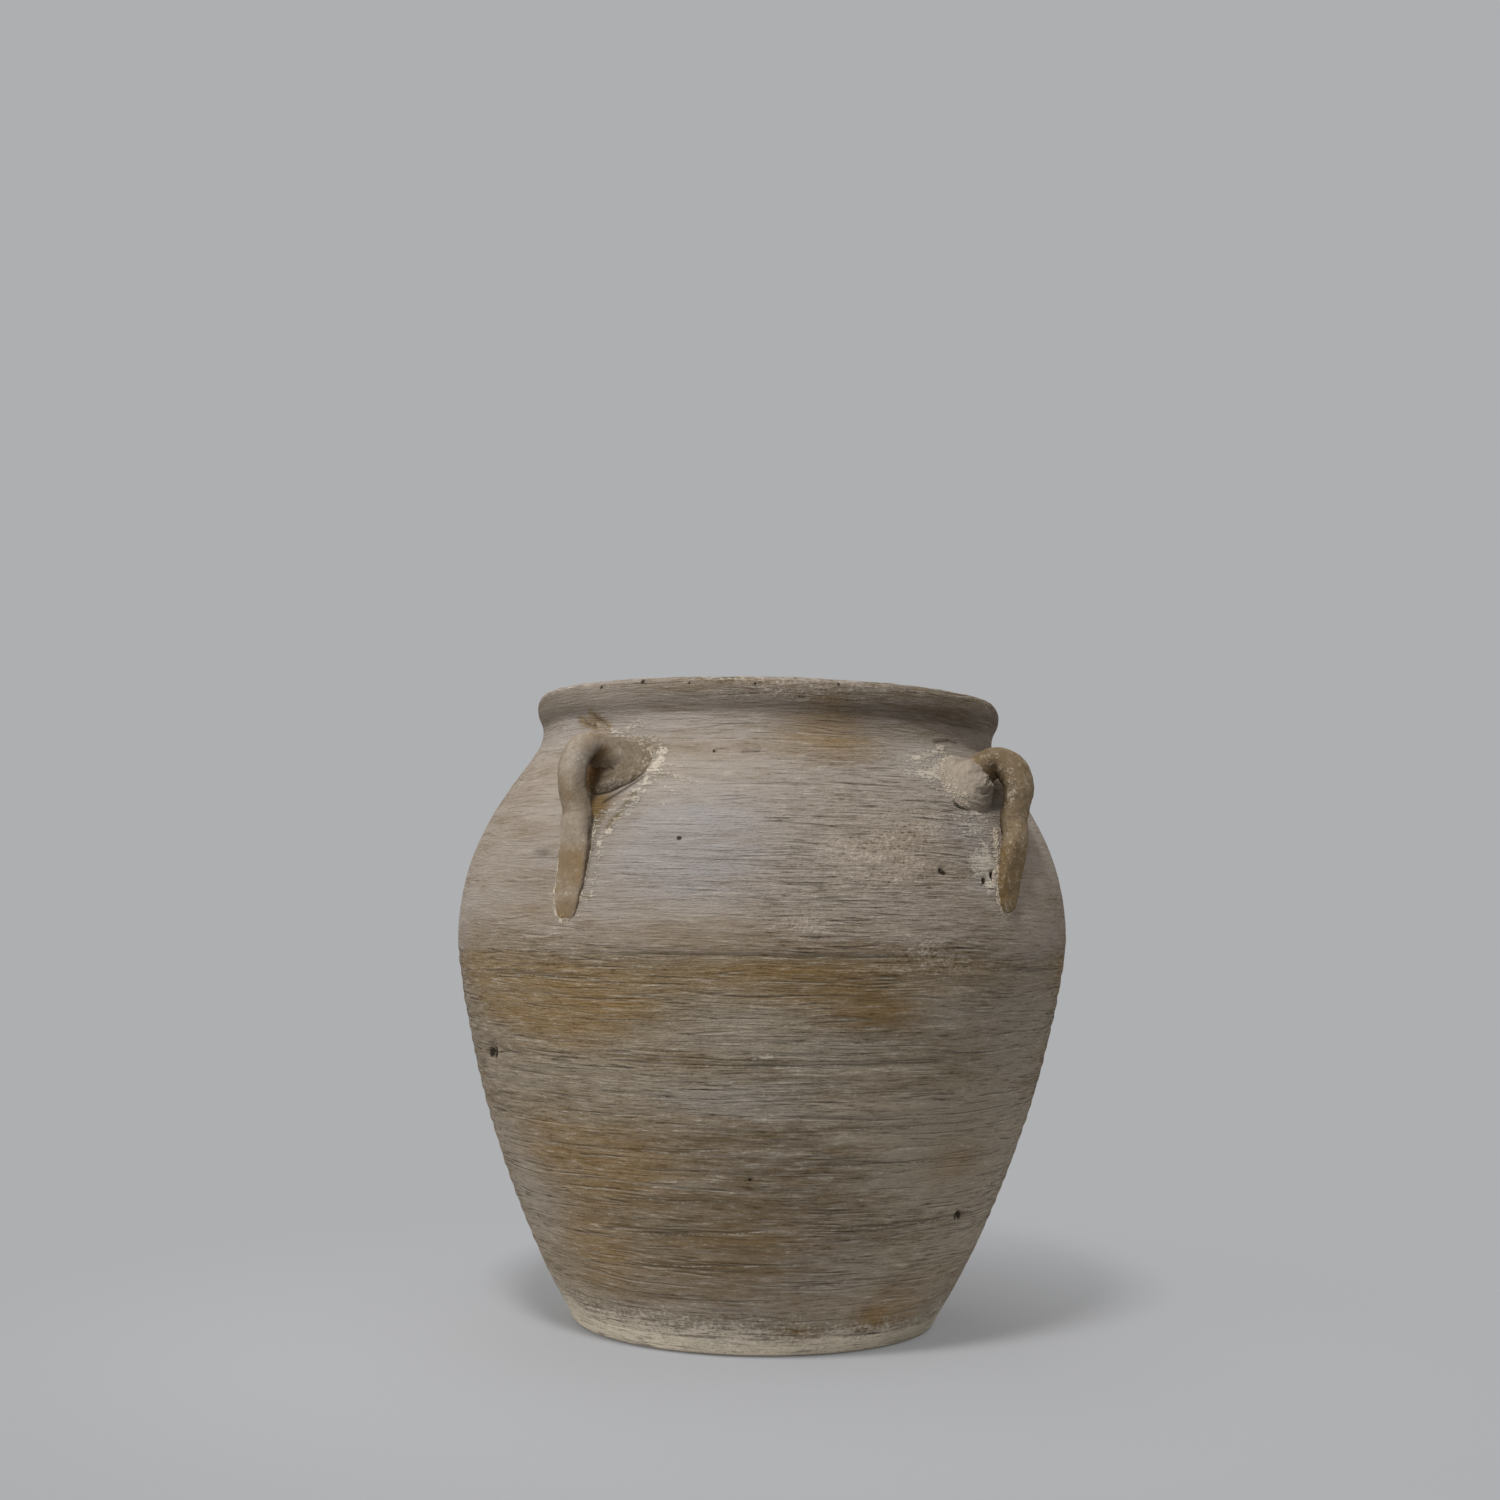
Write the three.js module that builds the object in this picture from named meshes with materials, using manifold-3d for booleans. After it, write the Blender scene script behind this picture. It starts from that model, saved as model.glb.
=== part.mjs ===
// A hand-thrown clay jar with four looped handles on its shoulder.
// Millimetres, +Z up. The origin is the centre of the underside and -Y is the front.
// The jar is built the way a potter builds one: a slab for the floor, a lower wall thrown on it,
// a shoulder lapped over the lower wall, a collar with the lip, and four ropes of clay, each
// pressed on through a wad of soft clay at its root and laid on a bed of soft clay at its tail.

import * as THREE from 'three';
import { mergeVertices } from 'three/addons/utils/BufferGeometryUtils.js';
import Module from 'manifold-3d';

const wasm = await Module();
wasm.setup();

// Outline of the pot, from the ground up
const footRadius = 87.4;
const footBandHeight = 8;
const footTopRadius = 91.2;
const flareOut = 42.7;
const flareUp = 71.1;
const bellyRadius = 148.8;
const bellyHeight = 184;
const bellyPullBelow = 15.7;
const bellyPullAbove = 58.2;
const waistRadius = 111.3;
const waistHeight = 281;
const waistPull = 16.1;

// Lip above the waist of the neck
const lipOverhang = 3.1;
const lipRise = 19;
const lipThickness = 14;
const lipOuterRoundHeight = 6.5;
const lipOuterRoundWidth = 4.4;
const lipInnerRound = 3;

// Walls and the joints between the thrown sections
const wallThickness = 9.5;
const floorThickness = 12;
const bellyJointDrop = 7;
const neckJointDrop = 6.5;
const lapHeight = 7;
const fitGap = 0.3;

// Loop of each handle: an arch of rope between its root under the neck and its foot. The arch starts
// at an angle, in degrees, measured from its outermost point.
const rootDrop = 22.5;
const archDrop = 25;
const archStandOff = 9.4;
const archHalfWidth = 9.7;
const archHalfHeight = 12;
const archStart = 135;
const loopFootDrop = 45;
const rootWidth = 17;
const rootThickness = 14;
const rootBite = 2.5;
const ropeWidth = 14.2;
const ropeThickness = 11.2;

// Tail of each handle, pressed flat against the wall below the loop
const tailWidth = 16;
const tailThickness = 5.4;
const tailStandOff = 0.8;
const tipWidth = 7;
const tipThickness = 3.4;

// Soft clay that holds the rope: a wad round the root and a bed under the tail
const wadHalfWidth = 16;
const wadHalfHeight = 13;
const wadBulge = 5.4;
const bedBorder = 2.6;
const bedProud = 2.2;
const bedRunIn = 4;
const bedRunOut = 4.5;
const seatDepth = 3.2;

// How far each tail runs down the wall from the foot of its loop
const frontTailLength = 45;
const rightTailLength = 39;
const backTailLength = 43;
const leftTailLength = 46;

// Where each handle stands round the pot, and how far off plumb its tail runs, both in degrees
const handles = [
  { name: 'front', turn: 0, tilt: 5, tailLength: frontTailLength },
  { name: 'right', turn: 90, tilt: -23, tailLength: rightTailLength },
  { name: 'back', turn: 180, tilt: -8.5, tailLength: backTailLength },
  { name: 'left', turn: 270, tilt: 9.5, tailLength: leftTailLength },
];

// How finely the curves are stepped
const turnSegments = 60;
const lowerSteps = 7;
const upperSteps = 8;
const lipSteps = 3;
const archSteps = 6;
const ropeSteps = 24;
const bedSteps = 8;
const ropeSides = 10;
const wadSides = 16;

// How far the end of a rolled piece bulges past its last section, as a share of its thickness
const domeShare = 0.25;

const lipRadius = waistRadius + lipOverhang;
const lipTop = waistHeight + lipRise;
const plugRadius = footTopRadius - wallThickness;
const bellyJoint = bellyHeight - bellyJointDrop;
const neckJoint = waistHeight - neckJointDrop;
const rootHeight = waistHeight - rootDrop;
const loopFoot = waistHeight - loopFootDrop;

const washedClay = new THREE.MeshStandardMaterial({ color: 0xa3968a, roughness: 0.95, metalness: 0 });
const coarseClay = new THREE.MeshStandardMaterial({ color: 0x8f7d68, roughness: 1, metalness: 0 });
const ropeClay = new THREE.MeshStandardMaterial({ color: 0x87745c, roughness: 0.9, metalness: 0 });
const softClay = new THREE.MeshStandardMaterial({ color: 0xb7a488, roughness: 0.95, metalness: 0 });

const point = (radius, height) => new THREE.Vector2(radius, height);

// Outer surface of the wall as (radius, height) points, from the foot band to the waist.
function outerWall() {
  const lower = new THREE.CubicBezierCurve(
    point(footTopRadius, footBandHeight),
    point(footTopRadius + flareOut, footBandHeight + flareUp),
    point(bellyRadius, bellyHeight - bellyPullBelow),
    point(bellyRadius, bellyHeight),
  );
  const upper = new THREE.CubicBezierCurve(
    point(bellyRadius, bellyHeight),
    point(bellyRadius, bellyHeight + bellyPullAbove),
    point(waistRadius, waistHeight - waistPull),
    point(waistRadius, waistHeight),
  );
  return [...lower.getPoints(lowerSteps), ...upper.getPoints(upperSteps).slice(1)];
}

// Outer surface of the lip, from the waist to the flat on top.
function outerLip() {
  const roundStart = lipTop - lipOuterRoundHeight;
  const halfWay = (waistHeight + roundStart) / 2;
  const hollow = new THREE.CubicBezierCurve(
    point(waistRadius, waistHeight),
    point(waistRadius, halfWay),
    point(lipRadius, halfWay),
    point(lipRadius, roundStart),
  );
  const round = new THREE.EllipseCurve(
    lipRadius - lipOuterRoundWidth,
    roundStart,
    lipOuterRoundWidth,
    lipOuterRoundHeight,
    0,
    Math.PI / 2,
  );
  return [...hollow.getPoints(lipSteps).slice(1), ...round.getPoints(lipSteps).slice(1)];
}

// The same line moved toward the axis, square to itself.
function offsetInward(points, distance) {
  return points.map((here, i) => {
    const before = points[Math.max(i - 1, 0)];
    const after = points[Math.min(i + 1, points.length - 1)];
    const along = after.clone().sub(before).normalize();
    return point(here.x - along.y * distance, here.y + along.x * distance);
  });
}

// Radius of a line of points at one height.
function radiusAt(points, height) {
  const above = points.findIndex((p) => p.y > height);
  if (above === 0) return points[0].x;
  if (above < 0) return points[points.length - 1].x;
  const from = points[above - 1];
  const to = points[above];
  return THREE.MathUtils.mapLinear(height, from.y, to.y, from.x, to.x);
}

// The stretch of a line between two heights, with a point exactly at each.
function stretch(points, low, high) {
  const between = points.filter((p) => p.y > low && p.y < high);
  return [point(radiusAt(points, low), low), ...between, point(radiusAt(points, high), high)];
}

const outer = outerWall();
const inner = offsetInward(outer, wallThickness);
const middle = (height) => (radiusAt(outer, height) + radiusAt(inner, height)) / 2;

// A place on the outer wall in the plane of a handle, with the wall's outward direction there.
function wallPlace(height) {
  const step = 1;
  const slope = radiusAt(outer, height + step) - radiusAt(outer, height - step);
  const outward = point(2 * step, -slope).normalize();
  return { foot: point(radiusAt(outer, height), height), outward };
}

// A point that stands off the outer wall, square to it.
function offWall(height, distance) {
  const { foot, outward } = wallPlace(height);
  return foot.addScaledVector(outward, distance);
}

// One set of shared vertices, without triangles that have shrunk to nothing.
function closeUp(geometry) {
  const bare = new THREE.BufferGeometry();
  bare.setAttribute('position', geometry.getAttribute('position'));
  bare.setIndex(geometry.getIndex());
  const merged = mergeVertices(bare);
  const corners = merged.getIndex().array;
  const kept = [];
  for (let i = 0; i < corners.length; i += 3) {
    const [a, b, c] = corners.slice(i, i + 3);
    if (a !== b && b !== c && c !== a) kept.push(a, b, c);
  }
  merged.setIndex(kept);
  merged.computeVertexNormals();
  return merged;
}

function toSolid(geometry) {
  const closed = closeUp(geometry);
  return new wasm.Manifold(new wasm.Mesh({
    numProp: 3,
    vertProperties: new Float32Array(closed.getAttribute('position').array),
    triVerts: new Uint32Array(closed.getIndex().array),
  }));
}

function toGeometry(solid) {
  const mesh = solid.getMesh();
  const geometry = new THREE.BufferGeometry();
  geometry.setAttribute('position', new THREE.BufferAttribute(mesh.vertProperties, 3));
  geometry.setIndex(new THREE.BufferAttribute(mesh.triVerts, 1));
  geometry.computeVertexNormals();
  return geometry;
}

// A closed profile turned round the +Z axis.
function turned(profile) {
  const lathe = new THREE.LatheGeometry(profile, turnSegments);
  return closeUp(lathe.rotateX(Math.PI / 2));
}

// The floor: a foot band round the ground face, and a plug that the lower wall stands around.
function baseSlab() {
  return turned([
    point(0, 0),
    point(footRadius, 0),
    point(footTopRadius, footBandHeight),
    point(plugRadius, footBandHeight),
    point(plugRadius, floorThickness),
    point(0, floorThickness),
  ]);
}

// The lower wall stands on the foot band and ends in a tongue on its inner half.
function lowerWall() {
  const seat = footBandHeight + fitGap;
  const tongueTop = bellyJoint + lapHeight;
  const inside = stretch(inner, floorThickness + fitGap, tongueTop).reverse();
  const profile = [
    ...stretch(outer, seat, bellyJoint),
    point(middle(bellyJoint) - fitGap / 2, bellyJoint),
    point(middle(tongueTop) - fitGap / 2, tongueTop),
    ...inside,
    point(plugRadius + fitGap, floorThickness + fitGap),
    point(plugRadius + fitGap, seat),
  ];
  return turned([...profile, profile[0].clone()]);
}

// The shoulder laps over the lower wall's tongue and ends in a tongue of its own.
function shoulderWall() {
  const seam = bellyJoint + fitGap;
  const lapTop = seam + lapHeight;
  const tongueTop = neckJoint + lapHeight;
  const profile = [
    ...stretch(outer, seam, neckJoint),
    point(middle(neckJoint) - fitGap / 2, neckJoint),
    point(middle(tongueTop) - fitGap / 2, tongueTop),
    ...stretch(inner, lapTop, tongueTop).reverse(),
    point(middle(lapTop) + fitGap / 2, lapTop),
    point(middle(seam) + fitGap / 2, seam),
  ];
  return turned([...profile, profile[0].clone()]);
}

// The collar sits over the shoulder's tongue and rolls out into the thick lip.
function rimCollar() {
  const seam = neckJoint + fitGap;
  const lapTop = seam + lapHeight;
  const mouthRadius = lipRadius - lipThickness;
  const profile = [
    ...stretch(outer, seam, waistHeight),
    ...outerLip(),
    point(mouthRadius + lipInnerRound, lipTop),
    point(mouthRadius, lipTop - lipInnerRound),
    point(radiusAt(inner, lapTop), lapTop),
    point(middle(lapTop) + fitGap / 2, lapTop),
    point(middle(seam) + fitGap / 2, seam),
  ];
  return turned([...profile, profile[0].clone()]);
}

// A place in a handle's own frame, where the handle stands toward -Y before it is turned. Aside is
// how far it lies to one side, measured round the pot.
function place(flat, aside) {
  const angle = aside / flat.x;
  return new THREE.Vector3(flat.x * Math.sin(angle), -flat.x * Math.cos(angle), flat.y);
}

// How far to one side a tail has run by the time it is down at a height.
function tailAside(tilt, height) {
  return (loopFoot - height) * Math.tan(THREE.MathUtils.degToRad(tilt));
}

// Clay rolled along a line of stations. Each station is a place with a width round the pot and a
// thickness across the line. Grow swells it on every side, to cut the room that it needs.
function rolled(stations, steps, grow) {
  const line = new THREE.CatmullRomCurve3(stations.map((s) => s.at));
  const sizes = new THREE.SplineCurve(stations.map((s) => point(s.width, s.thickness)));
  const vertices = [];
  const corners = [];
  for (let i = 0; i <= steps; i += 1) {
    const centre = line.getPoint(i / steps);
    const size = sizes.getPoint(i / steps);
    const along = line.getTangent(i / steps);
    const round = new THREE.Vector3(-centre.y, centre.x, 0).normalize();
    const across = along.clone().cross(round).normalize();
    const side = across.clone().cross(along);
    const domed = size.y * domeShare;
    if (i === 0) centre.addScaledVector(along, -grow);
    if (i === steps) centre.addScaledVector(along, grow);
    if (i === 0) vertices.push(centre.clone().addScaledVector(along, -domed));
    for (let k = 0; k < ropeSides; k += 1) {
      const angle = (k / ropeSides) * 2 * Math.PI;
      vertices.push(centre.clone()
        .addScaledVector(side, Math.cos(angle) * (size.x / 2 + grow))
        .addScaledVector(across, Math.sin(angle) * (size.y / 2 + grow)));
    }
    if (i === steps) vertices.push(centre.clone().addScaledVector(along, domed));
  }
  for (let k = 0; k < ropeSides; k += 1) {
    const next = (k + 1) % ropeSides;
    corners.push(0, 1 + next, 1 + k);
    for (let i = 0; i < steps; i += 1) {
      const low = 1 + i * ropeSides;
      const high = low + ropeSides;
      corners.push(low + k, low + next, high + next, low + k, high + next, high + k);
    }
    const last = 1 + steps * ropeSides;
    corners.push(last + k, last + next, vertices.length - 1);
  }
  const geometry = new THREE.BufferGeometry().setFromPoints(vertices);
  geometry.setIndex(corners);
  return geometry;
}

// The rope: root pressed on the wall, arch, and a tail that flattens and runs off to one side. The
// root runs straight up into the arch, and the arch's bend is wider than half the rope's thickness.
function ropeStations({ tilt, tailLength }) {
  const archHeight = waistHeight - archDrop;
  const archRadius = radiusAt(outer, archHeight) + archStandOff;
  const rootLift = rootThickness * domeShare - rootBite;
  const arch = Array.from({ length: archSteps + 1 }, (_, i) => {
    const angle = THREE.MathUtils.degToRad(THREE.MathUtils.lerp(archStart, 0, i / archSteps));
    const outward = archRadius + archHalfWidth * Math.cos(angle);
    const upward = archHeight + archHalfHeight * Math.sin(angle);
    return { at: place(point(outward, upward), 0), width: ropeWidth, thickness: ropeThickness };
  });
  const onTail = (share) => {
    const height = loopFoot - tailLength * share;
    const clear = ropeThickness / 2 + fitGap;
    const lift = THREE.MathUtils.lerp(clear, tailStandOff, Math.min(share * 2, 1));
    return place(offWall(height, lift), tailAside(tilt, height));
  };
  const flatWidth = (share) => THREE.MathUtils.lerp(ropeWidth, tailWidth, share);
  const flatThickness = (share) => THREE.MathUtils.lerp(ropeThickness, tailThickness, share);
  return [
    { at: place(offWall(rootHeight, rootLift), 0), width: rootWidth, thickness: rootThickness },
    ...arch,
    { at: onTail(0), width: ropeWidth, thickness: ropeThickness },
    { at: onTail(0.25), width: flatWidth(0.6), thickness: flatThickness(0.6) },
    { at: onTail(0.5), width: tailWidth, thickness: tailThickness },
    { at: onTail(0.8), width: tailWidth, thickness: tailThickness },
    { at: onTail(1), width: tipWidth, thickness: tipThickness },
  ];
}

// The bed under the tail, a little wider and longer than the tail that lies in it.
function bedStations({ tilt, tailLength }) {
  const tip = loopFoot - tailLength;
  const thickness = seatDepth + bedProud;
  const lift = (bedProud - seatDepth) / 2;
  return [0, 0.2, 0.5, 0.8, 1].map((share) => {
    const height = THREE.MathUtils.lerp(loopFoot + bedRunIn, tip - bedRunOut, share);
    const ends = share === 0 || share === 1;
    return {
      at: place(offWall(height, lift), tailAside(tilt, height)),
      width: ends ? tipWidth + 2 * bedBorder : tailWidth + 2 * bedBorder,
      thickness: ends ? thickness - bedProud : thickness,
    };
  });
}

// The wad: a low dome of clay centred where the rope's root meets the wall.
function wadDome(grow) {
  const { foot, outward } = wallPlace(rootHeight);
  const basis = new THREE.Matrix4().makeBasis(
    new THREE.Vector3(1, 0, 0),
    new THREE.Vector3(0, -outward.x, outward.y),
    new THREE.Vector3(0, -outward.y, -outward.x),
  );
  return new THREE.SphereGeometry(1, wadSides, wadSides / 2)
    .scale(wadHalfWidth + grow, wadBulge + grow, wadHalfHeight + grow)
    .applyMatrix4(basis)
    .translate(0, -foot.x, foot.y);
}

// Everything deeper in the wall than the seats cut for the wads and beds.
function belowSeats(grow) {
  const depth = offsetInward(outer, seatDepth + grow);
  const low = depth[0].y;
  const high = depth[depth.length - 1].y;
  return toSolid(turned([point(0, low), ...depth, point(0, high)]));
}

// The three solids of one handle, in its own frame.
function handleSolids(spec) {
  const rope = rolled(ropeStations(spec), ropeSteps, 0);
  const ropeRoom = toSolid(rolled(ropeStations(spec), ropeSteps, fitGap));
  const bed = toSolid(rolled(bedStations(spec), bedSteps, 0));
  const wad = toSolid(wadDome(0));
  return {
    rope,
    wad: toGeometry(wad.subtract(belowSeats(0)).subtract(ropeRoom)),
    bed: toGeometry(bed.subtract(belowSeats(0)).subtract(ropeRoom)),
  };
}

// The room that every wad, bed and rope takes where it stands on the pot.
function handleRooms() {
  const core = belowSeats(fitGap);
  return handles.flatMap((spec) => {
    const turn = THREE.MathUtils.degToRad(spec.turn);
    const wadRoom = toSolid(wadDome(fitGap).rotateZ(turn)).subtract(core);
    const bedRoom = toSolid(rolled(bedStations(spec), bedSteps, fitGap).rotateZ(turn)).subtract(core);
    const ropeRoom = toSolid(rolled(ropeStations(spec), ropeSteps, fitGap).rotateZ(turn));
    return [wadRoom, bedRoom, ropeRoom];
  });
}

const rooms = handleRooms();

// Cuts a seat into a wall for every wad and bed that reaches it, so that each is keyed into the
// wall, and keeps the wall clear of the ropes.
function seated(wall) {
  return toGeometry(rooms.reduce((cut, room) => cut.subtract(room), toSolid(wall)));
}

function piece(name, geometry, material) {
  const mesh = new THREE.Mesh(geometry, material);
  mesh.name = name;
  return mesh;
}

const jar = new THREE.Group();
jar.add(
  piece('base_slab', baseSlab(), coarseClay),
  piece('lower_wall', seated(lowerWall()), coarseClay),
  piece('shoulder_wall', seated(shoulderWall()), washedClay),
  piece('rim_collar', rimCollar(), washedClay),
);
handles.forEach((spec) => {
  const solids = handleSolids(spec);
  const handle = new THREE.Group();
  handle.rotation.z = THREE.MathUtils.degToRad(spec.turn);
  handle.add(
    piece(`${spec.name}_handle_rope`, solids.rope, ropeClay),
    piece(`${spec.name}_handle_root_wad`, solids.wad, softClay),
    piece(`${spec.name}_handle_tail_bed`, solids.bed, softClay),
  );
  jar.add(handle);
});

export default jar;
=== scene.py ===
"""A hand-thrown clay jar with four looped handles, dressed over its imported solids.

Sizes inside the classes are in millimetres and angles in degrees, and the meshes are in metres. The
origin is the centre of the underside, -Y is the front, and an angle round the jar starts at the
front and grows toward +X.
"""

import logging
import math
from dataclasses import dataclass, field
from enum import Enum

import bpy
import numpy as np
from mathutils import Matrix


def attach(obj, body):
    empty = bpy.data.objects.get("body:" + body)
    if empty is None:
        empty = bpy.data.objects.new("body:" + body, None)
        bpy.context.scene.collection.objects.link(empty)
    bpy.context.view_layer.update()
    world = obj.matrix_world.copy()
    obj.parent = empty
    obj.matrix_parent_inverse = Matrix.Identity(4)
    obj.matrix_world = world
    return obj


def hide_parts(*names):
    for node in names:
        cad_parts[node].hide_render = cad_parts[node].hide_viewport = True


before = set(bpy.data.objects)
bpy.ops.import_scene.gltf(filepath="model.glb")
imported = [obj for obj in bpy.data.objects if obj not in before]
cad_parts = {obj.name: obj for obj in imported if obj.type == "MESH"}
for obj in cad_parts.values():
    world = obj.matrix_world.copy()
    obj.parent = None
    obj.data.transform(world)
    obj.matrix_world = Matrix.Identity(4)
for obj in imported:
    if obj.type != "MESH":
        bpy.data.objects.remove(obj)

logging.basicConfig(level=logging.INFO, format="%(message)s")
LOG = logging.getLogger("clay_jar")

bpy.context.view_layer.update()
MM = 0.001
TURN = 2 * math.pi

Array = np.ndarray
Triple = tuple[float, float, float]
Colour = Triple
Object = bpy.types.Object
Tree = bpy.types.NodeTree
Node = bpy.types.Node
Socket = bpy.types.NodeSocket
Input = Socket | float | tuple


def linear(red: int, green: int, blue: int) -> Colour:
    """Turns a display colour of 0 to 255 into the linear colour that shaders take.

    Args:
        red: the red part.
        green: the green part.
        blue: the blue part.

    Returns:
        The three linear parts.
    """
    parts = [value / 255 for value in (red, green, blue)]
    return tuple(p / 12.92 if p <= 0.04045 else ((p + 0.055) / 1.055) ** 2.4 for p in parts)


def ease(low: float, high: float, values: Array) -> Array:
    """Rises smoothly from 0 at low to 1 at high, as 3t^2 - 2t^3.

    Args:
        low: where the rise starts.
        high: where it ends. It may be below low, for a fall.
        values: the values to ease.

    Returns:
        An array of 0 to 1.
    """
    t = np.clip((values - low) / (high - low), 0, 1)
    return t * t * (3 - 2 * t)


def bump(values: Array, centre: float, half: float) -> Array:
    """A bell that is 1 at the centre and falls as exp(-(d / half)^2).

    Args:
        values: where to work it out.
        centre: the middle of the bell.
        half: the distance at which it has fallen to about a third.

    Returns:
        An array of 0 to 1.
    """
    return np.exp(-(((values - centre) / half) ** 2))


def angle_from(angles: Array, centre: float) -> Array:
    """The signed difference from a centre angle, in degrees, the short way round.

    Args:
        angles: angles in degrees.
        centre: the angle to measure from.

    Returns:
        Differences of -180 to 180.
    """
    return (angles - centre + 180) % 360 - 180


# The noise lattice starts this far under the foot and spans this much height, in millimetres.
LATTICE_UNDER = 30
LATTICE_SPAN = 420


@dataclass(frozen=True)
class ClayNoise:
    """Seeded smooth noise that closes on itself round the jar."""

    seed: int

    def spread(
        self, angles: Array, heights: Array | float, cells: int, rise: float,
        octaves: int = 3, fade: float = 0.5,
    ) -> Array:
        """Value noise: random lattice values, eased between neighbours, in octaves of half the size.

        Args:
            angles: angles round the jar in degrees.
            heights: heights in millimetres.
            cells: lattice cells in one turn at the coarsest octave.
            rise: height of a lattice cell at the coarsest octave.
            octaves: how many octaves are summed.
            fade: share of the strength that each finer octave keeps.

        Returns:
            Values of 0 to 1, about 0.5 on average.
        """
        source = np.random.default_rng(self.seed)
        angles, heights = np.broadcast_arrays(angles, heights)
        total = np.zeros(angles.shape)
        weight = 0.0
        for octave in range(octaves):
            count = cells * 2**octave
            step = rise / 2**octave
            rows = int(LATTICE_SPAN / step) + 3
            lattice = source.random((rows, count))
            across = (angles % 360) / 360 * count
            up = np.clip((heights + LATTICE_UNDER) / step, 0, rows - 1.001)
            i, j = np.floor(across).astype(int), np.floor(up).astype(int)
            u, v = ease(0, 1, across - i), ease(0, 1, up - j)
            left, right = i % count, (i + 1) % count
            low = lattice[j, left] * (1 - u) + lattice[j, right] * u
            high = lattice[j + 1, left] * (1 - u) + lattice[j + 1, right] * u
            total += (low * (1 - v) + high * v) * fade**octave
            weight += fade**octave
        return total / weight


def cubic(points: list[tuple[float, float]], count: int) -> Array:
    """Points on a cubic Bezier curve, (1-t)^3 a + 3(1-t)^2 t b + 3(1-t) t^2 c + t^3 d.

    Args:
        points: the four control points.
        count: how many points to return, with both ends.

    Returns:
        An array of count rows of (radius, height).
    """
    t = np.linspace(0, 1, count)[:, None]
    a, b, c, d = (np.array(p, float) for p in points)
    return (1 - t) ** 3 * a + 3 * (1 - t) ** 2 * t * b + 3 * (1 - t) * t**2 * c + t**3 * d


def evenly(line: Array, count: int) -> Array:
    """The same line with its points spread evenly along its length.

    Args:
        line: rows of coordinates.
        count: how many points to return.

    Returns:
        An array of count rows.
    """
    length = np.concatenate([[0], np.cumsum(np.linalg.norm(np.diff(line, axis=0), axis=1))])
    wanted = np.linspace(0, length[-1], count)
    return np.stack([np.interp(wanted, length, line[:, k]) for k in range(line.shape[1])], axis=1)


def flowing(stations: Array, count: int) -> Array:
    """A smooth line through stations: Catmull-Rom pieces between each two neighbours.

    Args:
        stations: rows of values, coordinates and sizes alike.
        count: how many rows to return.

    Returns:
        An array of count rows that passes through every station.
    """
    ends = np.vstack([2 * stations[0] - stations[1], stations, 2 * stations[-1] - stations[-2]])
    where = np.linspace(0, len(stations) - 1 - 1e-9, count)
    i = np.floor(where).astype(int)
    t = (where - i)[:, None]
    a, b, c, d = ends[i], ends[i + 1], ends[i + 2], ends[i + 3]
    return 0.5 * (
        2 * b + (c - a) * t + (2 * a - 5 * b + 4 * c - d) * t**2 + (3 * b - a - 3 * c + d) * t**3
    )


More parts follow.
